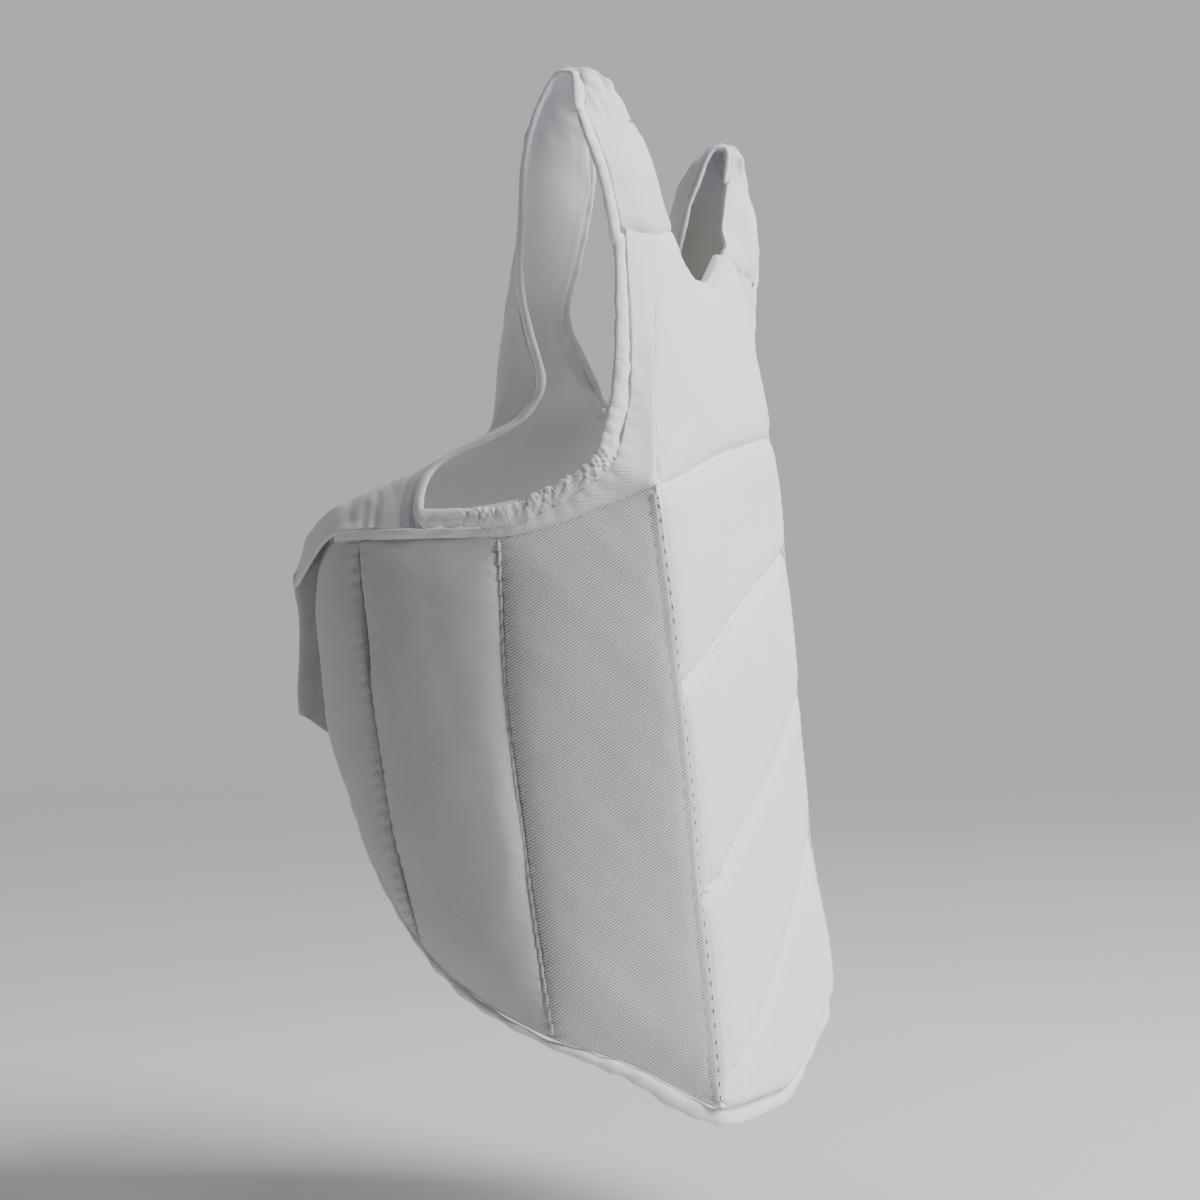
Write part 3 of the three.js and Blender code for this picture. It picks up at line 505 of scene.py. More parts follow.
class Paint:
    """Short names for the nodes of one cloth material."""

    def __init__(self, name, colour, roughness, sheen=0.0, sheen_roughness=0.4):
        self.material = bpy.data.materials.new(name)
        self.material.use_nodes = True
        self.tree = self.material.node_tree
        self.shader = self.tree.nodes["Principled BSDF"]
        self.colour = tuple(colour) + (1.0,)
        self.set(self.shader, "Base Color", self.colour)
        self.set(self.shader, "Roughness", roughness)
        self.set(self.shader, "Specular IOR Level", 0.35)
        self.set(self.shader, "Sheen Weight", sheen)
        self.set(self.shader, "Sheen Roughness", sheen_roughness)
        self.material.diffuse_color = self.colour

    def set(self, node, socket, value):
        node.inputs[socket].default_value = value

    def node(self, kind, **sockets):
        made = self.tree.nodes.new(kind)
        for socket, value in sockets.items():
            self.put(made, socket, value)
        return made

    def put(self, node, socket, value):
        target = node.inputs[int(socket[1:]) if socket[0] == "i" and socket[1:].isdigit() else socket]
        if isinstance(value, bpy.types.NodeSocket):
            self.tree.links.new(value, target)
        else:
            target.default_value = value

    def place(self, turn=(0, 0, 0), at=(0, 0, 0)):
        where = self.node("ShaderNodeTexCoord").outputs["Object"]
        mapping = self.node("ShaderNodeMapping")
        mapping.vector_type = "TEXTURE"
        self.put(mapping, "Vector", where)
        mapping.inputs["Rotation"].default_value = turn
        mapping.inputs["Location"].default_value = at
        return mapping.outputs["Vector"]

    def parts(self, vector):
        made = self.node("ShaderNodeSeparateXYZ")
        self.put(made, "Vector", vector)
        return made.outputs["X"], made.outputs["Y"], made.outputs["Z"]

    def math(self, operation, *values):
        made = self.node("ShaderNodeMath")
        made.operation = operation
        for k, value in enumerate(values):
            self.put(made, f"i{k}", value)
        return made.outputs[0]

    def wave(self, value, pitch, shift=0.0):
        scaled = self.math("MULTIPLY_ADD", value, 2 * math.pi / pitch, shift)
        return self.math("SINE", scaled)

    def noise(self, vector, size, detail=2.0, roughness=0.5):
        made = self.node("ShaderNodeTexNoise")
        self.put(made, "Vector", vector)
        self.set(made, "Scale", 1 / size)
        self.set(made, "Detail", detail)
        self.set(made, "Roughness", roughness)
        return made.outputs["Fac"]

    def ramp(self, value, low, high, to_low=0.0, to_high=1.0):
        made = self.node("ShaderNodeMapRange")
        self.put(made, "Value", value)
        for socket, number in (("From Min", low), ("From Max", high), ("To Min", to_low), ("To Max", to_high)):
            self.set(made, socket, number)
        return made.outputs[0]

    def tint(self, factor, dark):
        """Colour that falls towards dark where factor is 0."""
        made = self.node("ShaderNodeMix")
        made.data_type = "RGBA"
        self.put(made, "i0", factor)
        made.inputs[6].default_value = tuple(c * d for c, d in zip(self.colour[:3], dark)) + (1.0,)
        made.inputs[7].default_value = self.colour
        self.put(self.shader, "Base Color", made.outputs[2])
        return made.outputs[2]

    def weight(self, name):
        made = self.node("ShaderNodeAttribute")
        made.attribute_name = name
        return made.outputs["Fac"]

    def over(self, below, colour, factor):
        """Lays another colour over the one below, as far as factor says."""
        made = self.node("ShaderNodeMix")
        made.data_type = "RGBA"
        self.put(made, "i0", factor)
        self.put(made, "i6", below)
        made.inputs[7].default_value = tuple(colour) + (1.0,)
        self.put(self.shader, "Base Color", made.outputs[2])
        return made.outputs[2]

    def relief(self, height, distance, strength=1.0):
        made = self.node("ShaderNodeBump")
        self.put(made, "Height", height)
        self.set(made, "Distance", distance)
        self.set(made, "Strength", strength)
        self.put(self.shader, "Normal", made.outputs["Normal"])


def coated_cover(colour):
    paint = Paint("coated_cover", colour, 0.52, sheen=0.05)
    where = paint.place()
    grain = paint.noise(where, 0.0011, detail=3.0)
    cloud = paint.noise(where, 0.07, detail=3.0)
    height = paint.math("ADD", paint.math("MULTIPLY", grain, 0.35), paint.math("MULTIPLY", cloud, 0.4))
    paint.relief(height, 0.0009, 0.5)
    paint.tint(paint.ramp(cloud, 0.3, 0.7, 0.25, 1.0), (0.955, 0.955, 0.965))
    rough = paint.ramp(paint.noise(where, 0.02), 0.3, 0.7, 0.46, 0.6)
    paint.put(paint.shader, "Roughness", rough)
    return paint.material


def twill_cover(name, colour, pitch, heading, depth=1.0):
    """Slanting ribs broken into dots, on a pad that runs along heading seen from above."""
    paint = Paint(name, colour, 0.85, sheen=0.12)
    where = paint.place(turn=(0, 0, heading))
    across, _, up = paint.parts(where)
    rise = math.radians(38)
    drift = paint.math("MULTIPLY", paint.noise(where, 0.012, detail=1.0), 0.0007)
    along_rib = paint.math(
        "ADD", paint.math("MULTIPLY", across, math.cos(rise)), paint.math("MULTIPLY", up, math.sin(rise))
    )
    over_rib = paint.math(
        "ADD",
        paint.math("ADD", paint.math("MULTIPLY", across, -math.sin(rise)), paint.math("MULTIPLY", up, math.cos(rise))),
        drift,
    )
    ribs = paint.wave(over_rib, pitch)
    dots = paint.wave(paint.math("ADD", along_rib, paint.math("MULTIPLY", over_rib, 0.5)), pitch * 1.12)
    weave = paint.math("MULTIPLY_ADD", dots, 0.45, ribs)
    fuzz = paint.noise(where, 0.0007, detail=2.0)
    height = paint.math("MULTIPLY_ADD", fuzz, 0.9, weave)
    paint.relief(height, 0.0002 * depth, 0.9)
    shade = paint.math("MULTIPLY", paint.ramp(weave, -1.3, 0.9), paint.ramp(fuzz, 0.3, 0.62, 0.72, 1.0))
    paint.tint(shade, (1 - 0.62 * depth, 1 - 0.62 * depth, 1 - 0.61 * depth))
    return paint.material


def stretch_knit(colour, pitch):
    """Fine knit with rows of small eyelets."""
    paint = Paint("stretch_knit", colour, 0.8, sheen=0.15)
    where = paint.place(turn=(0, 0, math.radians(35)))
    across, _, up = paint.parts(where)
    columns = paint.wave(across, pitch)
    rows = paint.wave(paint.math("ADD", up, paint.math("MULTIPLY", across, 0.5)), pitch)
    eyelets = paint.math("MULTIPLY", columns, rows)
    fuzz = paint.noise(where, 0.0008, detail=2.0)
    height = paint.math("MULTIPLY_ADD", fuzz, 0.8, paint.math("MULTIPLY", eyelets, -0.6))
    paint.relief(height, 0.00016, 0.7)
    shade = paint.math("MULTIPLY", paint.ramp(eyelets, 0.95, 0.35, 0.45, 1.0), paint.ramp(fuzz, 0.3, 0.6, 0.8, 1.0))
    paint.tint(shade, (0.8, 0.81, 0.83))
    return paint.material


def smooth_binding(colour):
    paint = Paint("smooth_binding", colour, 0.58, sheen=0.2, sheen_roughness=0.3)
    where = paint.place()
    fuzz = paint.noise(where, 0.0009, detail=3.0)
    cloud = paint.noise(where, 0.009, detail=2.0)
    paint.relief(paint.math("MULTIPLY_ADD", cloud, 1.6, fuzz), 0.00022, 0.5)
    paint.tint(paint.ramp(cloud, 0.3, 0.7), (0.93, 0.93, 0.94))
    return paint.material


def padded_cloth(colour, white, facing):
    paint = Paint("padded_cloth", colour, 0.78, sheen=0.2)
    where = paint.place()
    x, y, z = paint.parts(where)
    rows = paint.wave(paint.math("ADD", paint.math("ADD", x, y), z), 0.0011)
    cross = paint.wave(paint.math("SUBTRACT", paint.math("ADD", x, y), z), 0.0011)
    weave = paint.math("MULTIPLY", rows, cross)
    fuzz = paint.noise(where, 0.0008, detail=2.0)
    cloud = paint.noise(where, 0.045, detail=3.0)
    height = paint.math("ADD", paint.math("MULTIPLY_ADD", fuzz, 1.2, weave), paint.math("MULTIPLY", cloud, 8.0))
    paint.relief(height, 0.00009, 0.6)
    shade = paint.math("MULTIPLY", paint.ramp(cloud, 0.3, 0.7, 0.3, 1.0), paint.ramp(fuzz, 0.3, 0.6, 0.75, 1.0))
    base = paint.tint(shade, (0.9, 0.9, 0.88))
    base = paint.over(base, white, paint.math("MULTIPLY", paint.weight("shoulder"), 0.9))
    # Painted shade: the dark grey is laid within about 9 mm of the armhole piping on the lower arms, and fainter inside
    # the neck binding, where the cloth is in shade.
    armhole_shade = paint.ramp(paint.weight("armhole_gap"), 0.0088, 0.0094, 1.0, 0.0)
    inner = paint.ramp(paint.weight("neck_gap"), 0.0088, 0.0094, 0.35, 0.0)
    woven = paint.ramp(weave, -1, 1, 0.6, 1.0)
    paint.over(base, facing, paint.math("MULTIPLY", paint.math("MAXIMUM", armhole_shade, inner), woven))
    return paint.material


def brushed_loop(colour):
    paint = Paint("brushed_loop", colour, 0.92, sheen=0.35, sheen_roughness=0.6)
    where = paint.place()
    loops = paint.noise(where, 0.0012, detail=4.0, roughness=0.7)
    paint.relief(loops, 0.0007, 0.7)
    paint.tint(paint.ramp(loops, 0.32, 0.62), (0.72, 0.72, 0.7))
    return paint.material


def context_colours():
    return bpy.context.scene.guard_colours


def sewing_thread(colour, name="sewing_thread"):
    paint = Paint(name, colour, 0.5, sheen=0.2)
    x, y, z = paint.parts(paint.place())
    twist = paint.wave(paint.math("ADD", paint.math("ADD", x, y), paint.math("MULTIPLY", z, 2.0)), 0.0006)
    paint.relief(twist, 0.00006, 0.5)
    paint.tint(paint.ramp(twist, -1, 1), (0.85, 0.85, 0.86))
    return paint.material


def finish_of(name, make):
    """A material is made once and shared."""
    return bpy.data.materials.get(name) or make()


def cover_finish():
    return finish_of("coated_cover", lambda: coated_cover(bpy.context.scene.guard_colours.cover))


def knit_finish():
    s = bpy.context.scene
    return finish_of("stretch_knit", lambda: stretch_knit(s.guard_colours.mesh, s.guard_sizes.eyelet_pitch))


def binding_finish():
    return finish_of("smooth_binding", lambda: smooth_binding(bpy.context.scene.guard_colours.binding))


def thread_finish():
    return finish_of("sewing_thread", lambda: sewing_thread(bpy.context.scene.guard_colours.thread))


# Creases of the arms of the yoke, seen from the side: start, end, depth and half width
ARM_CREASES = (
    ((0.083, -0.2475), (0.08, -0.2675), 0.0013, 0.0022),
    ((0.0905, -0.252), (0.088, -0.268), 0.0012, 0.0022),
    ((0.1, -0.258), (0.114, -0.27), 0.0011, 0.003),
)


# Knots of gathered cloth at the top of the shoulders: centre, height and radius
SHOULDER_GATHERS = (
    ((0.0985, -0.061, -0.0175), 0.0038, 0.0055),
    ((0.104, -0.054, -0.004), 0.0018, 0.005),
    ((-0.0955, -0.035, 0.001), 0.0016, 0.0045),
    ((-0.094, -0.044, -0.006), 0.0022, 0.0045),
    ((-0.112, -0.034, -0.004), 0.0018, 0.004),
)


def near_segment(flat, start, end, width):
    """1 on a segment, falling off softly at its sides and ends."""
    start, end = np.array(start), np.array(end)
    run = end - start
    share = np.clip(((flat - start) @ run) / (run @ run), 0, 1)
    gap = np.linalg.norm(flat - start - share[:, None] * run, axis=1)
    return np.exp(-((gap / width) ** 2))


# Seams, read once from the frame

LINES = {}


def height_of(point):
    return -point[2]


def seam(a, b):
    key = (a, b)
    if key not in LINES:
        LINES[key] = shared_edge(a, b, 0.0011, height_of)
    return LINES[key]


def front_seam(side):
    return seam(f"side_pad_front_{side}", "front_pad")


def middle_seam(side):
    return seam(f"side_pad_middle_{side}", f"side_pad_front_{side}")


def rear_seam(side):
    return seam(f"side_pad_rear_{side}", f"side_pad_middle_{side}")


def round_armhole(point):
    """Way round the armhole, from the strap down, under the arm and on to the back."""
    return (math.atan2(point[2] + 0.15, point[1] + 0.02) % (2 * math.pi)) * 0.09


def armhole_seam(side, other, reach):
    key = (side, other)
    if key not in LINES:
        LINES[key] = shared_edge(f"armhole_mesh_{side}", other, reach, round_armhole)
    return LINES[key]


# Pieces


class GUARD_OT_front_pad(bpy.types.Operator):
    """Cover of the front pad, with its pressed grooves, centre crease and puckers at the side seams"""

    bl_idname = "guard.front_pad"
    bl_label = "Front pad"

    def execute(self, context):
        sizes = context.scene.guard_sizes
        obj = cloth_copy("front_pad", "front_cover", 3, crease=0.75, valley=9)
        co = points_of(obj)
        outside = ease(-normals_of(obj)[:, 1], 0.1, 0.5)
        uneven = soft_noise(co, 0.085, 4) * sizes.wrinkle * 0.7 + soft_noise(co, 0.03, 9) * sizes.wrinkle * 0.2
        line = 0.002 + 0.0016 * np.sin(co[:, 2] * 40)
        crease = np.exp(-((co[:, 0] - line) / 0.0028) ** 2) * ease(co[:, 2], -0.215, -0.17) * ease(-co[:, 2], 0.108, 0.13)
        gap = distance_to(valleys("front_pad"), co)
        groove = sizes.groove * np.exp(-((gap / 0.0017) ** 2)) + 0.0011 * np.exp(-((gap / 0.0075) ** 2))
        tight = 0.0003 * np.exp(-((gap / 0.013) ** 2)) * soft_noise(co, 0.011, 13)
        pucker = np.zeros(len(co))
        for side in SIDES:
            gap, along = front_seam(side).distance(co)
            pucker += np.exp(-(((gap - 0.009) / 0.005) ** 2)) * 0.00035 * gathers(along, 0.0086)
            pucker -= np.exp(-(((gap - sizes.seam_margin) / 0.0016) ** 2)) * 0.0007
        displace(obj, outside * (uneven - 0.0011 * crease - groove + tight + pucker))
        dress(obj, cover_finish(), ["front_pad"])
        return {"FINISHED"}


class GUARD_OT_side_pads(bpy.types.Operator):
    """Twill covers of the side pads"""

    bl_idname = "guard.side_pads"
    bl_label = "Side pads"

    def execute(self, context):
        sizes, colours = context.scene.guard_sizes, context.scene.guard_colours
        headings = {"front": -56, "middle": -90, "rear": -118}
        for seed, (place, heading) in enumerate(headings.items()):
            for side in SIDES:
                turn = math.radians(heading if side == "right" else 180 - heading)
                # The middle and rear pads get a shaded copy of the front twill: a darker colour as painted shade, with
                # fainter ribs.
                depth = 1.0 if place == "front" else 0.22
                colour = colours.twill if place == "front" else colours.shaded_twill
                twill = twill_cover(f"twill_{place}_{side}", colour, sizes.twill_pitch, turn, depth)
                node = f"side_pad_{place}_{side}"
                obj = cloth_copy(node, f"side_cover_{place}_{side}", 4, crease=0.75)
                co = points_of(obj)
                away = np.array([co[:, 0], co[:, 1] - 0.02]).T
                away /= np.linalg.norm(away, axis=1)[:, None]
                outside = ease((normals_of(obj)[:, :2] * away).sum(1), 0.2, 0.7)
                relief = soft_noise(co, 0.07, 20 + seed) * sizes.wrinkle * 0.8
                relief += soft_noise(co, 0.022, 30 + seed) * sizes.wrinkle * 0.25
                lines = {"front": (front_seam(side), middle_seam(side)), "rear": (rear_seam(side),)}
                for line in lines.get(place, (middle_seam(side), rear_seam(side))):
                    gap, along = line.distance(co)
                    wave = gathers(along + 0.0015 * np.sin(along * 90), sizes.ridge_pitch)
                    relief += np.exp(-(((gap - 0.004) / 0.0034) ** 2)) * 0.0004 * wave
                displace(obj, outside * relief)
                dress(obj, twill, [node])
        return {"FINISHED"}


class GUARD_OT_hem(bpy.types.Operator):
    """Binding round the foot of the pads"""

    bl_idname = "guard.hem"
    bl_label = "Hem"

    def execute(self, context):
        obj = cloth_copy("hem_binding", "hem_cover", 3)
        co = points_of(obj)
        ripple = soft_noise(co, 0.016, 51) * 0.0005 + soft_noise(co, 0.05, 52) * 0.0006
        displace(obj, ripple)
        dress(obj, binding_finish(), ["hem_binding"])
        return {"FINISHED"}


class GUARD_OT_armholes(bpy.types.Operator):
    """Stretch mesh and gathered binding round each armhole"""

    bl_idname = "guard.armholes"
    bl_label = "Armholes"

    def execute(self, context):
        for side in SIDES:
            self.knit(side)
            self.gathered(side, context.scene.guard_sizes)
        return {"FINISHED"}

    def knit(self, side):
        obj = cloth_copy(f"armhole_mesh_{side}", f"armhole_knit_{side}", 3, crease=0.5)
        co = points_of(obj)
        gap, along = armhole_seam(side, f"armhole_binding_{side}", 0.0022).distance(co)
        pull = np.exp(-(((gap - 0.003) / 0.005) ** 2)) * 0.0004 * gathers(along, 0.0098)
        displace(obj, outside_of(obj) * (soft_noise(co, 0.03, 61) * 0.0005 + pull))
        meet(obj, [bpy.data.objects[name] for name in ("front_cover", f"side_cover_front_{side}", f"side_cover_middle_{side}")])
        dress(obj, knit_finish(), [f"armhole_mesh_{side}"])

    def gathered(self, side, sizes):
        """Slanting gathers, strongest where the binding turns under the arm."""
        obj = cloth_copy(f"armhole_binding_{side}", f"armhole_gather_{side}", 4)
        co = points_of(obj)
        line = armhole_seam(side, f"armhole_binding_{side}", 0.0022)
        gap, along = line.distance(co)
        turn = ease(along / line.length, 0.28, 0.45) * (0.45 + 0.55 * ease(1 - along / line.length, 0.12, 0.4))
        slant = along + 0.8 * gap + 0.0022 * np.sin(along * 170) + 0.0013 * np.sin(along * 410)
        uneven = 0.75 + 0.25 * np.sin(along * 260 + 1.0)
        height = sizes.gather * (0.2 + 0.8 * turn) * uneven * gathers(slant, sizes.gather_pitch, 0.75)
        height += 0.55 * sizes.gather * turn * gathers(slant + 0.002, sizes.gather_pitch * 0.44, 0.85)
        displace(obj, height + soft_noise(co, 0.012, 64) * 0.0003)
        co = points_of(obj)
        rear = co[:, 1].max()
        co[:, 1] += 0.009 * ease(co[:, 1], rear - 0.03, rear)
        top = co[:, 2].max()
        co[:, 2] += 0.003 * ease(co[:, 2], top - 0.02, top)
        set_points(obj, co)
        meet(obj, [bpy.data.objects[f"armhole_knit_{side}"]], 0.003, 0.0005)
        dress(obj, binding_finish(), [f"armhole_binding_{side}"])


class GUARD_OT_straps(bpy.types.Operator):
    """Front shoulder straps with the roll along their armhole edge"""

    bl_idname = "guard.straps"
    bl_label = "Shoulder straps"

    def execute(self, context):
        for side in SIDES:
            strap = cloth_copy(f"shoulder_strap_{side}", f"strap_knit_{side}", 3, crease=0.6)
            co = points_of(strap)
            top = ease(co[:, 2], -0.05, -0.025)
            pleats = np.sin(np.abs(co[:, 0]) * 2 * math.pi / 0.009 + 1.5 * np.sin(co[:, 2] * 120)) * 0.0004 * top
            displace(strap, outside_of(strap) * (soft_noise(co, 0.03, 71) * 0.0006 + pleats))
            meet(strap, [bpy.data.objects["front_cover"], bpy.data.objects[f"armhole_knit_{side}"]])
            dress(strap, knit_finish(), [f"shoulder_strap_{side}"])
            roll = cloth_copy(f"strap_roll_{side}", f"strap_edge_{side}", 4)
            co = points_of(roll)
            displace(roll, soft_noise(co, 0.02, 73) * 0.0004 + 0.00025 * gathers(co[:, 2] + co[:, 0] * 0.4, 0.011))
            co = points_of(roll)
            foot, top = co[:, 2].min(), co[:, 2].max()
            co[:, 2] -= 0.0045 * (1 - ease(co[:, 2], foot, foot + 0.02))
            co[:, 2] += 0.0025 * ease(co[:, 2], top - 0.015, top)
            set_points(roll, co)
            meet(roll, [strap], 0.0035, 0.0009)
            dress(roll, binding_finish(), [f"strap_roll_{side}"])
        return {"FINISHED"}


class GUARD_OT_yoke(bpy.types.Operator):
    """Back yoke with its folds, piping and neck binding"""

    bl_idname = "guard.yoke"
    bl_label = "Back yoke"

    def execute(self, context):
        sizes, colours = context.scene.guard_sizes, context.scene.guard_colours
        cloth = padded_cloth(colours.yoke, colours.mesh, colours.facing)
        edges = [self.edge(f"armhole_piping_{side}", f"piping_{side}", 0.0055) for side in SIDES]
        rim = self.edge("neck_binding", "neck_edge", 0.0075)
        obj = cloth_copy("back_yoke", "yoke_cloth", 3, crease=0.4)
        co = points_of(obj)
        facing = self.facing(obj)
        edge = distance_to(np.concatenate([points_of(piping) for piping in edges]), co)
        neck = distance_to(points_of(rim), co)
        low = ease(-co[:, 2], 0.2, 0.225)
        paint_weights(obj, "armhole_gap", edge + 0.03 * (1 - low))
        paint_weights(obj, "neck_gap", neck + 0.03 * ease(co[:, 2], -0.08, -0.05))
        paint_weights(obj, "shoulder", ease(co[:, 2], -0.055, -0.035))
        displace(obj, facing * self.folds(co, sizes) + np.abs(facing) * self.welts(edge, neck, low))
        self.lower(obj)
        self.tuck(obj)
        for piping in (*edges, rim):
            meet(piping, [obj], 0.0028, 0.0006)
        near = [f"armhole_knit_{side}" for side in SIDES] + [f"strap_knit_{side}" for side in SIDES]
        meet(obj, [bpy.data.objects[name] for name in near], 0.003, 0.0004)
        dress(obj, cloth, ["back_yoke"])
        return {"FINISHED"}

    def tuck(self, obj):
        """The ends of the arms are drawn in on to the closing belt."""
        co = points_of(obj)
        end = ease(-co[:, 2], 0.272, 0.3) * ease(co[:, 1], 0.09, 0.11)
        set_points(obj, co - outward_of(co) * (0.0016 * end)[:, None])

    def folds(self, co, sizes):
        """Soft folds of the lower arms, pleats of the shoulders and unevenness of the rest."""
        arm = ease(np.abs(co[:, 0]), 0.085, 0.13) * ease(co[:, 1], 0.05, 0.085) * ease(-co[:, 2], 0.215, 0.24)
        run = co[:, 1] * 0.9 - co[:, 2] * 0.55 + np.abs(co[:, 0]) * 0.25
        waves = gathers(run + 0.004 * np.sin(co[:, 2] * 95), 0.03, 0.8) * 0.6 + np.sin(run * 2 * math.pi / 0.034 + 2.0) * 0.5
        top = ease(co[:, 2], -0.05, -0.02)
        pleats = gathers(np.abs(co[:, 0]) + 0.003 * np.sin(co[:, 1] * 130 + 1.0), 0.0105, 0.8) * 0.0004 * top
        pleats += soft_noise(co, 0.011, 84) * 0.0005 * top
        for centre, height, radius in SHOULDER_GATHERS:
            pleats += height * np.exp(-((np.linalg.norm(co - np.array(centre), axis=1) / radius) ** 2))
        soft = soft_noise(co, 0.06, 81) * 0.0009 + soft_noise(co, 0.025, 82) * 0.0003
        creases = np.zeros(len(co))
        for start, end, depth, width in ARM_CREASES:
            creases -= depth * near_segment(co[:, 1:], start, end, width)
        return arm * waves * sizes.fold * 0.35 + pleats + soft + creases * ease(np.abs(co[:, 0]), 0.1, 0.125)

    def welts(self, edge, neck, low):
        """The pressed lines of stitching beside the armhole piping and the neck binding."""
        lines = np.exp(-(((edge - 0.0095) / 0.0013) ** 2)) * low + np.exp(-(((edge - 0.003) / 0.0013) ** 2)) * low
        return -0.0005 * lines - 0.0004 * np.exp(-(((neck - 0.0095) / 0.0014) ** 2))

    def edge(self, node, name, pitch):
        """Piping or binding, drawn in a little at each stitch."""
        obj = cloth_copy(node, name, 3)
        co = points_of(obj)
        run = co[:, 2] + co[:, 1] * 0.8 + co[:, 0] * 0.3
        displace(obj, 0.00016 * gathers(run, pitch) + soft_noise(co, 0.016, 88) * 0.0002)
        self.lower(obj)
        return dress(obj, binding_finish(), [node])

    def lower(self, obj):
        """The foot of each arm reaches down on to the stretch mesh."""
        co = points_of(obj)
        side = ease(np.abs(co[:, 0]), 0.115, 0.135) * (1 - ease(co[:, 1], 0.095, 0.115))
        co[:, 2] -= 0.0045 * side * ease(-co[:, 2], 0.24, 0.262)
        set_points(obj, co)

    def facing(self, obj):
        """1 on the outer skin and -1 on the inner one, so that both skins of the cloth move together."""
        normals = normals_of(obj)
        co = points_of(obj)
        away = co - np.array([0.0, -0.03, -0.2])
        away[:, 2] *= 0.6
        away /= np.linalg.norm(away, axis=1)[:, None]
        return np.clip((normals * away).sum(1) * 3, -1, 1)


class GUARD_OT_belt(bpy.types.Operator):
    """Closing belt across the back"""

    bl_idname = "guard.belt"
    bl_label = "Closing belt"

    def execute(self, context):
        obj = cloth_copy("closure_belt", "belt_cloth", 3, crease=0.5)
        co = points_of(obj)
        top = co[:, 2].max()
        raised = ease(co[:, 2], top - 0.07, top - 0.004)
        co = co + outward_of(co) * (0.003 * raised)[:, None]
        co[:, 2] += 0.006 * raised
        set_points(obj, co)
        facing = np.clip((normals_of(obj) * outward_of(co)).sum(1) * 3, -1, 1)
        displace(obj, facing * (soft_noise(co, 0.05, 91) * 0.0009 + soft_noise(co, 0.018, 92) * 0.0002))
        # The belt colour is darkened as painted shade.
        dress(obj, brushed_loop(context.scene.guard_colours.belt), ["closure_belt"])
        return {"FINISHED"}


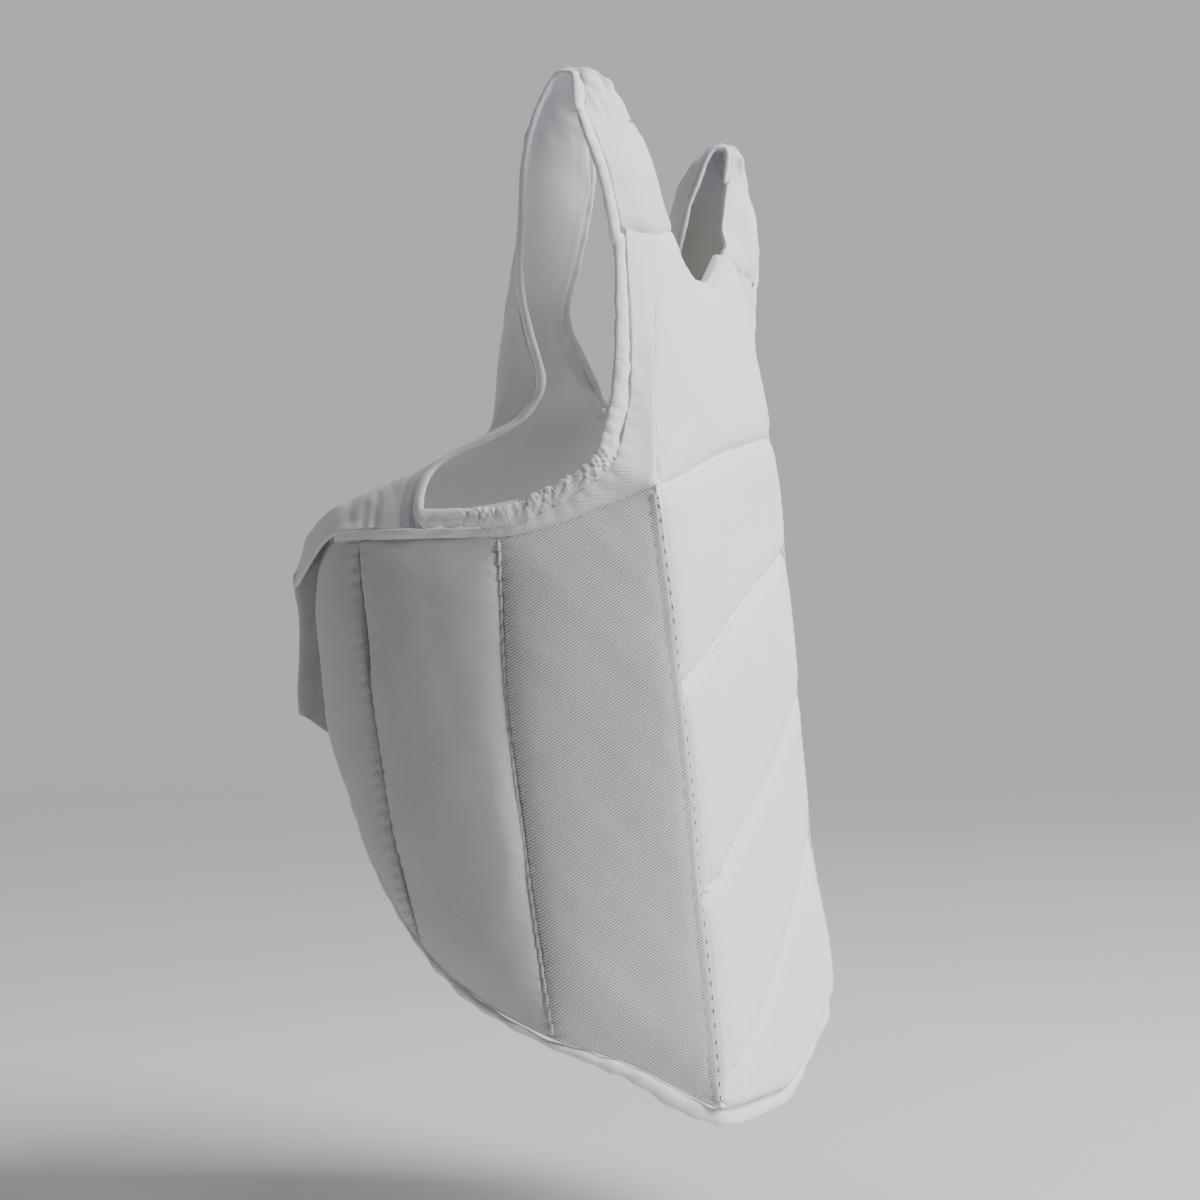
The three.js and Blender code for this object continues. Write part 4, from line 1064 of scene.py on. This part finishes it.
class GUARD_OT_seams(bpy.types.Operator):
    """Puckered cords and margins on the side seams and the rows of stitches"""

    bl_idname = "guard.seams"
    bl_label = "Seams and stitches"

    def execute(self, context):
        sizes, colours = context.scene.guard_sizes, context.scene.guard_colours
        for side in SIDES:
            self.cord(side, sizes)
            self.margin(side, sizes, colours)
            self.stitch_rows(side, sizes)
        return {"FINISHED"}

    def cord(self, side, sizes):
        """A thin cord of gathered cloth, pinched at each stitch, between the front and middle side pads."""
        line = middle_seam(side)
        run = line.tangents()
        count = int(line.length / 0.0007)
        points, faces, ring = [], [], 10
        lean = 1 if side == "right" else -1
        for i in range(count + 1):
            s = line.length * i / count
            k = min(int(round(s / line.length * (len(line.points) - 1))), len(line.points) - 1)
            centre = np.array([np.interp(s, line.along, line.points[:, axis]) for axis in range(3)])
            out = np.array([centre[0], centre[1] - 0.02, 0.0])
            out /= np.linalg.norm(out)
            across = np.cross(run[k], out)
            across /= np.linalg.norm(across)
            turn = (s / sizes.ridge_pitch) % 1
            swell = abs(math.sin(math.pi * turn)) ** 0.45
            centre = centre + across * lean * 0.0007 * (turn - 0.5) + out * 0.0006
            width = sizes.ridge_width / 2 * (0.42 + 0.58 * swell)
            height = 0.0014 * (0.3 + 0.7 * swell)
            taper = max(min(1.0, i / 6, (count - i) / 6), 0.05)
            for j in range(ring):
                angle = 2 * math.pi * j / ring
                offset = across * math.cos(angle) * width + out * math.sin(angle) * height
                points.append(centre + offset * taper)
            if i:
                base, before = i * ring, (i - 1) * ring
                for j in range(ring):
                    after = (j + 1) % ring
                    faces.append((before + j, before + after, base + after, base + j))
        faces.append(tuple(range(ring)))
        faces.append(tuple(reversed(range(count * ring, (count + 1) * ring))))
        self.closed(f"seam_cord_{side}", points, faces, bpy.data.materials[f"twill_middle_{side}"])

    def closed(self, name, points, faces, material):
        mesh = bpy.data.meshes.new(name)
        mesh.from_pydata([tuple(p) for p in points], [], faces)
        obj = link(name, mesh)
        bpy.ops.object.mode_set(mode="EDIT")
        bpy.ops.mesh.select_all(action="SELECT")
        bpy.ops.mesh.normals_make_consistent(inside=False)
        bpy.ops.object.mode_set(mode="OBJECT")
        bpy.ops.object.shade_smooth()
        return dress(obj, material, [])

    def margin(self, side, sizes, colours):
        """The twill goes on over the seam and is sewn down flat on the front cover."""
        line = front_seam(side)
        covers = [tree_of(bpy.data.objects[name]) for name in (f"side_cover_front_{side}", "front_cover")]
        way = 1 if side == "right" else -1
        rows = [self.crossing(line, i, way, covers) for i in range(1, len(line.points) - 1)]
        rows = smoothed_rows(self.bridged(np.array(rows)), 7)
        top = rows[:, :, :3]
        normals = rows[:, :, 3:]
        wide = top.shape[1]
        rises = np.array(self.RISE)
        outer = (top + normals * rises[None, :, None]).reshape(-1, 3)
        inner = (top - normals * 0.0016).reshape(-1, 3)
        faces = skin(len(rows), wide, len(outer))
        turn = math.radians(-56 if side == "right" else 236)
        name = "twill_front_" + side
        make = lambda: twill_cover(name, colours.twill, sizes.twill_pitch, turn, 1.0)
        self.closed(f"seam_margin_{side}", np.concatenate([outer, inner]), faces, finish_of(name, make))

    def bridged(self, rows):
        """The cloth spans the valley between the two pads in a low arch."""
        first, last = 2, 8
        for j in range(first + 1, last):
            share = (self.ACROSS[j] - self.ACROSS[first]) / (self.ACROSS[last] - self.ACROSS[first])
            rows[:, j] = rows[:, first] * (1 - share) + rows[:, last] * share
            rows[:, j, :3] += rows[:, j, 3:] * 0.0013 * math.sin(math.pi * share)
        return rows

    ACROSS = (-0.0075, -0.0055, -0.0035, -0.0018, -0.0006, 0.0002, 0.0012, 0.0026, 0.0042, 0.0052, 0.0056)
    RISE = (-0.0006, 0.0001, 0.0005, 0.0004, 0.0002, -0.0002, 0.0001, 0.0004, 0.0005, 0.0003, -0.0005)

    def crossing(self, line, i, way, covers):
        """Points and normals of one row over the seam, from the side cover to the front cover."""
        point = Vector(line.points[i])
        run = Vector(line.points[i + 1] - line.points[i - 1]).normalized()
        out = Vector((point.x, point.y - 0.02, 0)).normalized()
        across = out.cross(run).normalized() * way
        row = []
        for shift in self.ACROSS:
            tree = covers[0] if shift < 0 else covers[1]
            near, face, _, _ = tree.find_nearest(point + across * shift + out * 0.004, 0.03)
            if face.dot(out) < 0:
                face = -face
            row.append((*near, *face))
        return row

    def stitch_rows(self, side, sizes):
        names = ("front_cover", f"side_cover_front_{side}", f"armhole_knit_{side}", f"seam_margin_{side}", "yoke_cloth")
        trees = {name: tree_of(bpy.data.objects[name]) for name in names}
        way = 1 if side == "right" else -1
        pitch = sizes.stitch_pitch
        places = stitch_places(front_seam(side), trees[f"seam_margin_{side}"], 0.0003 * way, sizes.dash_pitch)
        sunk = [(place - normal * 0.0003, along, normal) for place, along, normal in places]
        obj = stitches(f"seam_dashes_{side}", sunk, sizes.dash_pitch * 0.58, sizes.thread * 1.7, 0.02)
        # The dashes take the dark sunk colour as painted shade of their dimples.
        shade = finish_of("sunk_thread_shade", lambda: sewing_thread(context_colours().sunk, "sunk_thread_shade"))
        dress(obj, shade, [])
        places = []
        knit = trees[f"armhole_knit_{side}"]
        inner = armhole_seam(side, f"armhole_binding_{side}", 0.0022)
        places += stitch_places(inner, knit, -0.0026 * way, pitch)
        outer = armhole_seam(side, "front_pad", 0.0012)
        places += stitch_places(outer, knit, 0.0024 * way, pitch)
        under = armhole_seam(side, f"side_pad_front_{side}", 0.0012)
        places += stitch_places(under, knit, 0.0024 * way, pitch)
        obj = stitches(f"seam_stitches_{side}", places, sizes.stitch_length, sizes.thread)
        dress(obj, thread_finish(), [])


class GUARD_OT_stage(bpy.types.Operator):
    """Pale floor, soft lights and the camera"""

    bl_idname = "guard.stage"
    bl_label = "Stage"

    def execute(self, context):
        scene = context.scene
        lo, hi = CAD_BOUNDS
        deselect()
        bpy.ops.mesh.primitive_circle_add(vertices=96, radius=14, fill_type="NGON", location=(0, 0, 0))
        floor = bpy.context.object
        floor.name = "floor"
        floor.data.transform(Matrix.Translation((0, 0, lo[2] - 0.09)))
        paint = Paint("pale_floor", (0.62, 0.62, 0.63), 0.75)
        where = paint.place()
        cloud = paint.noise(where, 0.6, detail=2.0)
        paint.tint(paint.ramp(cloud, 0.3, 0.7), (0.97, 0.97, 0.97))
        self.fade(paint, where)
        floor.data.materials.append(paint.material)
        self.light("key", (0.48, -3.5, 2.7), 2.9, 440)
        self.light("side", (3.8, -2.6, 0.85), 2.8, 48)
        self.light("rim", (-0.2, 2.3, 1.4), 1.6, 8)
        self.sky(scene)
        self.camera(scene)
        return {"FINISHED"}

    def fade(self, paint, where):
        """The floor goes over softly into the background far from the guard."""
        x, y, _ = paint.parts(where)
        reach = paint.math("SQRT", paint.math("ADD", paint.math("POWER", x, 2.0), paint.math("POWER", y, 2.0)))
        clear = paint.node("ShaderNodeBsdfTransparent")
        mix = paint.node("ShaderNodeMixShader")
        smooth = paint.ramp(reach, 0.8, 4.6)
        paint.put(mix, "i0", paint.math("POWER", smooth, 0.6))
        paint.put(mix, "i1", paint.shader.outputs["BSDF"])
        paint.put(mix, "i2", clear.outputs["BSDF"])
        paint.tree.links.new(mix.outputs["Shader"], paint.tree.nodes["Material Output"].inputs["Surface"])

    def sky(self, scene):
        """Even studio light, brighter beyond the guard's left front and dim on its right."""
        world = scene.world or bpy.data.worlds.new("studio")
        scene.world = world
        world.use_nodes = True
        tree = world.node_tree
        way = tree.nodes.new("ShaderNodeTexCoord").outputs["Generated"]
        toward = tree.nodes.new("ShaderNodeVectorMath")
        toward.operation = "DOT_PRODUCT"
        toward.inputs[1].default_value = (0.927, 0.375, 0.15)
        tree.links.new(way, toward.inputs[0])
        strength = tree.nodes.new("ShaderNodeMapRange")
        tree.links.new(toward.outputs["Value"], strength.inputs["Value"])
        for socket, number in (("From Min", -0.5), ("From Max", 0.8), ("To Min", 0.02), ("To Max", 0.58)):
            strength.inputs[socket].default_value = number
        background = tree.nodes["Background"]
        background.inputs["Color"].default_value = (0.87, 0.88, 0.9, 1)
        tree.links.new(strength.outputs[0], background.inputs["Strength"])

    def light(self, name, at, size, energy):
        lamp = bpy.data.lights.new(name, "AREA")
        lamp.size = size
        lamp.energy = energy
        obj = bpy.data.objects.new(name, lamp)
        obj.location = at
        obj.rotation_euler = (Vector((0, 0, -0.3)) - Vector(at)).to_track_quat("-Z", "Y").to_euler()
        bpy.context.scene.collection.objects.link(obj)

    def camera(self, scene):
        data = bpy.data.cameras.new("camera")
        data.lens = 66
        data.sensor_width = 36
        data.shift_y = 20 / 1200
        camera = bpy.data.objects.new("camera", data)
        camera.location = (-1.298, -0.525, -0.322)
        camera.rotation_euler = (math.radians(90), 0, math.radians(-68))
        scene.collection.objects.link(camera)
        scene.camera = camera


class GUARD_PT_pieces(bpy.types.Panel):
    """Lists the pieces of the guard"""

    bl_idname = "GUARD_PT_pieces"
    bl_label = "Chest protector"
    bl_space_type = "VIEW_3D"
    bl_region_type = "UI"
    bl_category = "Chest Protector"

    def draw(self, context):
        for group in (context.scene.guard_sizes, context.scene.guard_colours):
            box = self.layout.box()
            for name in group.__annotations__:
                box.prop(group, name)
        for operator in PIECES:
            self.layout.operator(operator.bl_idname)


PIECES = (
    GUARD_OT_front_pad,
    GUARD_OT_side_pads,
    GUARD_OT_hem,
    GUARD_OT_armholes,
    GUARD_OT_straps,
    GUARD_OT_yoke,
    GUARD_OT_belt,
    GUARD_OT_seams,
    GUARD_OT_stage,
)
CLASSES = (GuardSizes, GuardColours, *PIECES, GUARD_PT_pieces)


def register():
    for cls in CLASSES:
        bpy.utils.register_class(cls)
    bpy.types.Scene.guard_sizes = PointerProperty(type=GuardSizes)
    bpy.types.Scene.guard_colours = PointerProperty(type=GuardColours)


def unregister():
    del bpy.types.Scene.guard_colours
    del bpy.types.Scene.guard_sizes
    for cls in reversed(CLASSES):
        bpy.utils.unregister_class(cls)


def main():
    register()
    for operator in PIECES:
        group, name = operator.bl_idname.split(".")
        getattr(getattr(bpy.ops, group), name)()


if __name__ == "__main__":
    main()
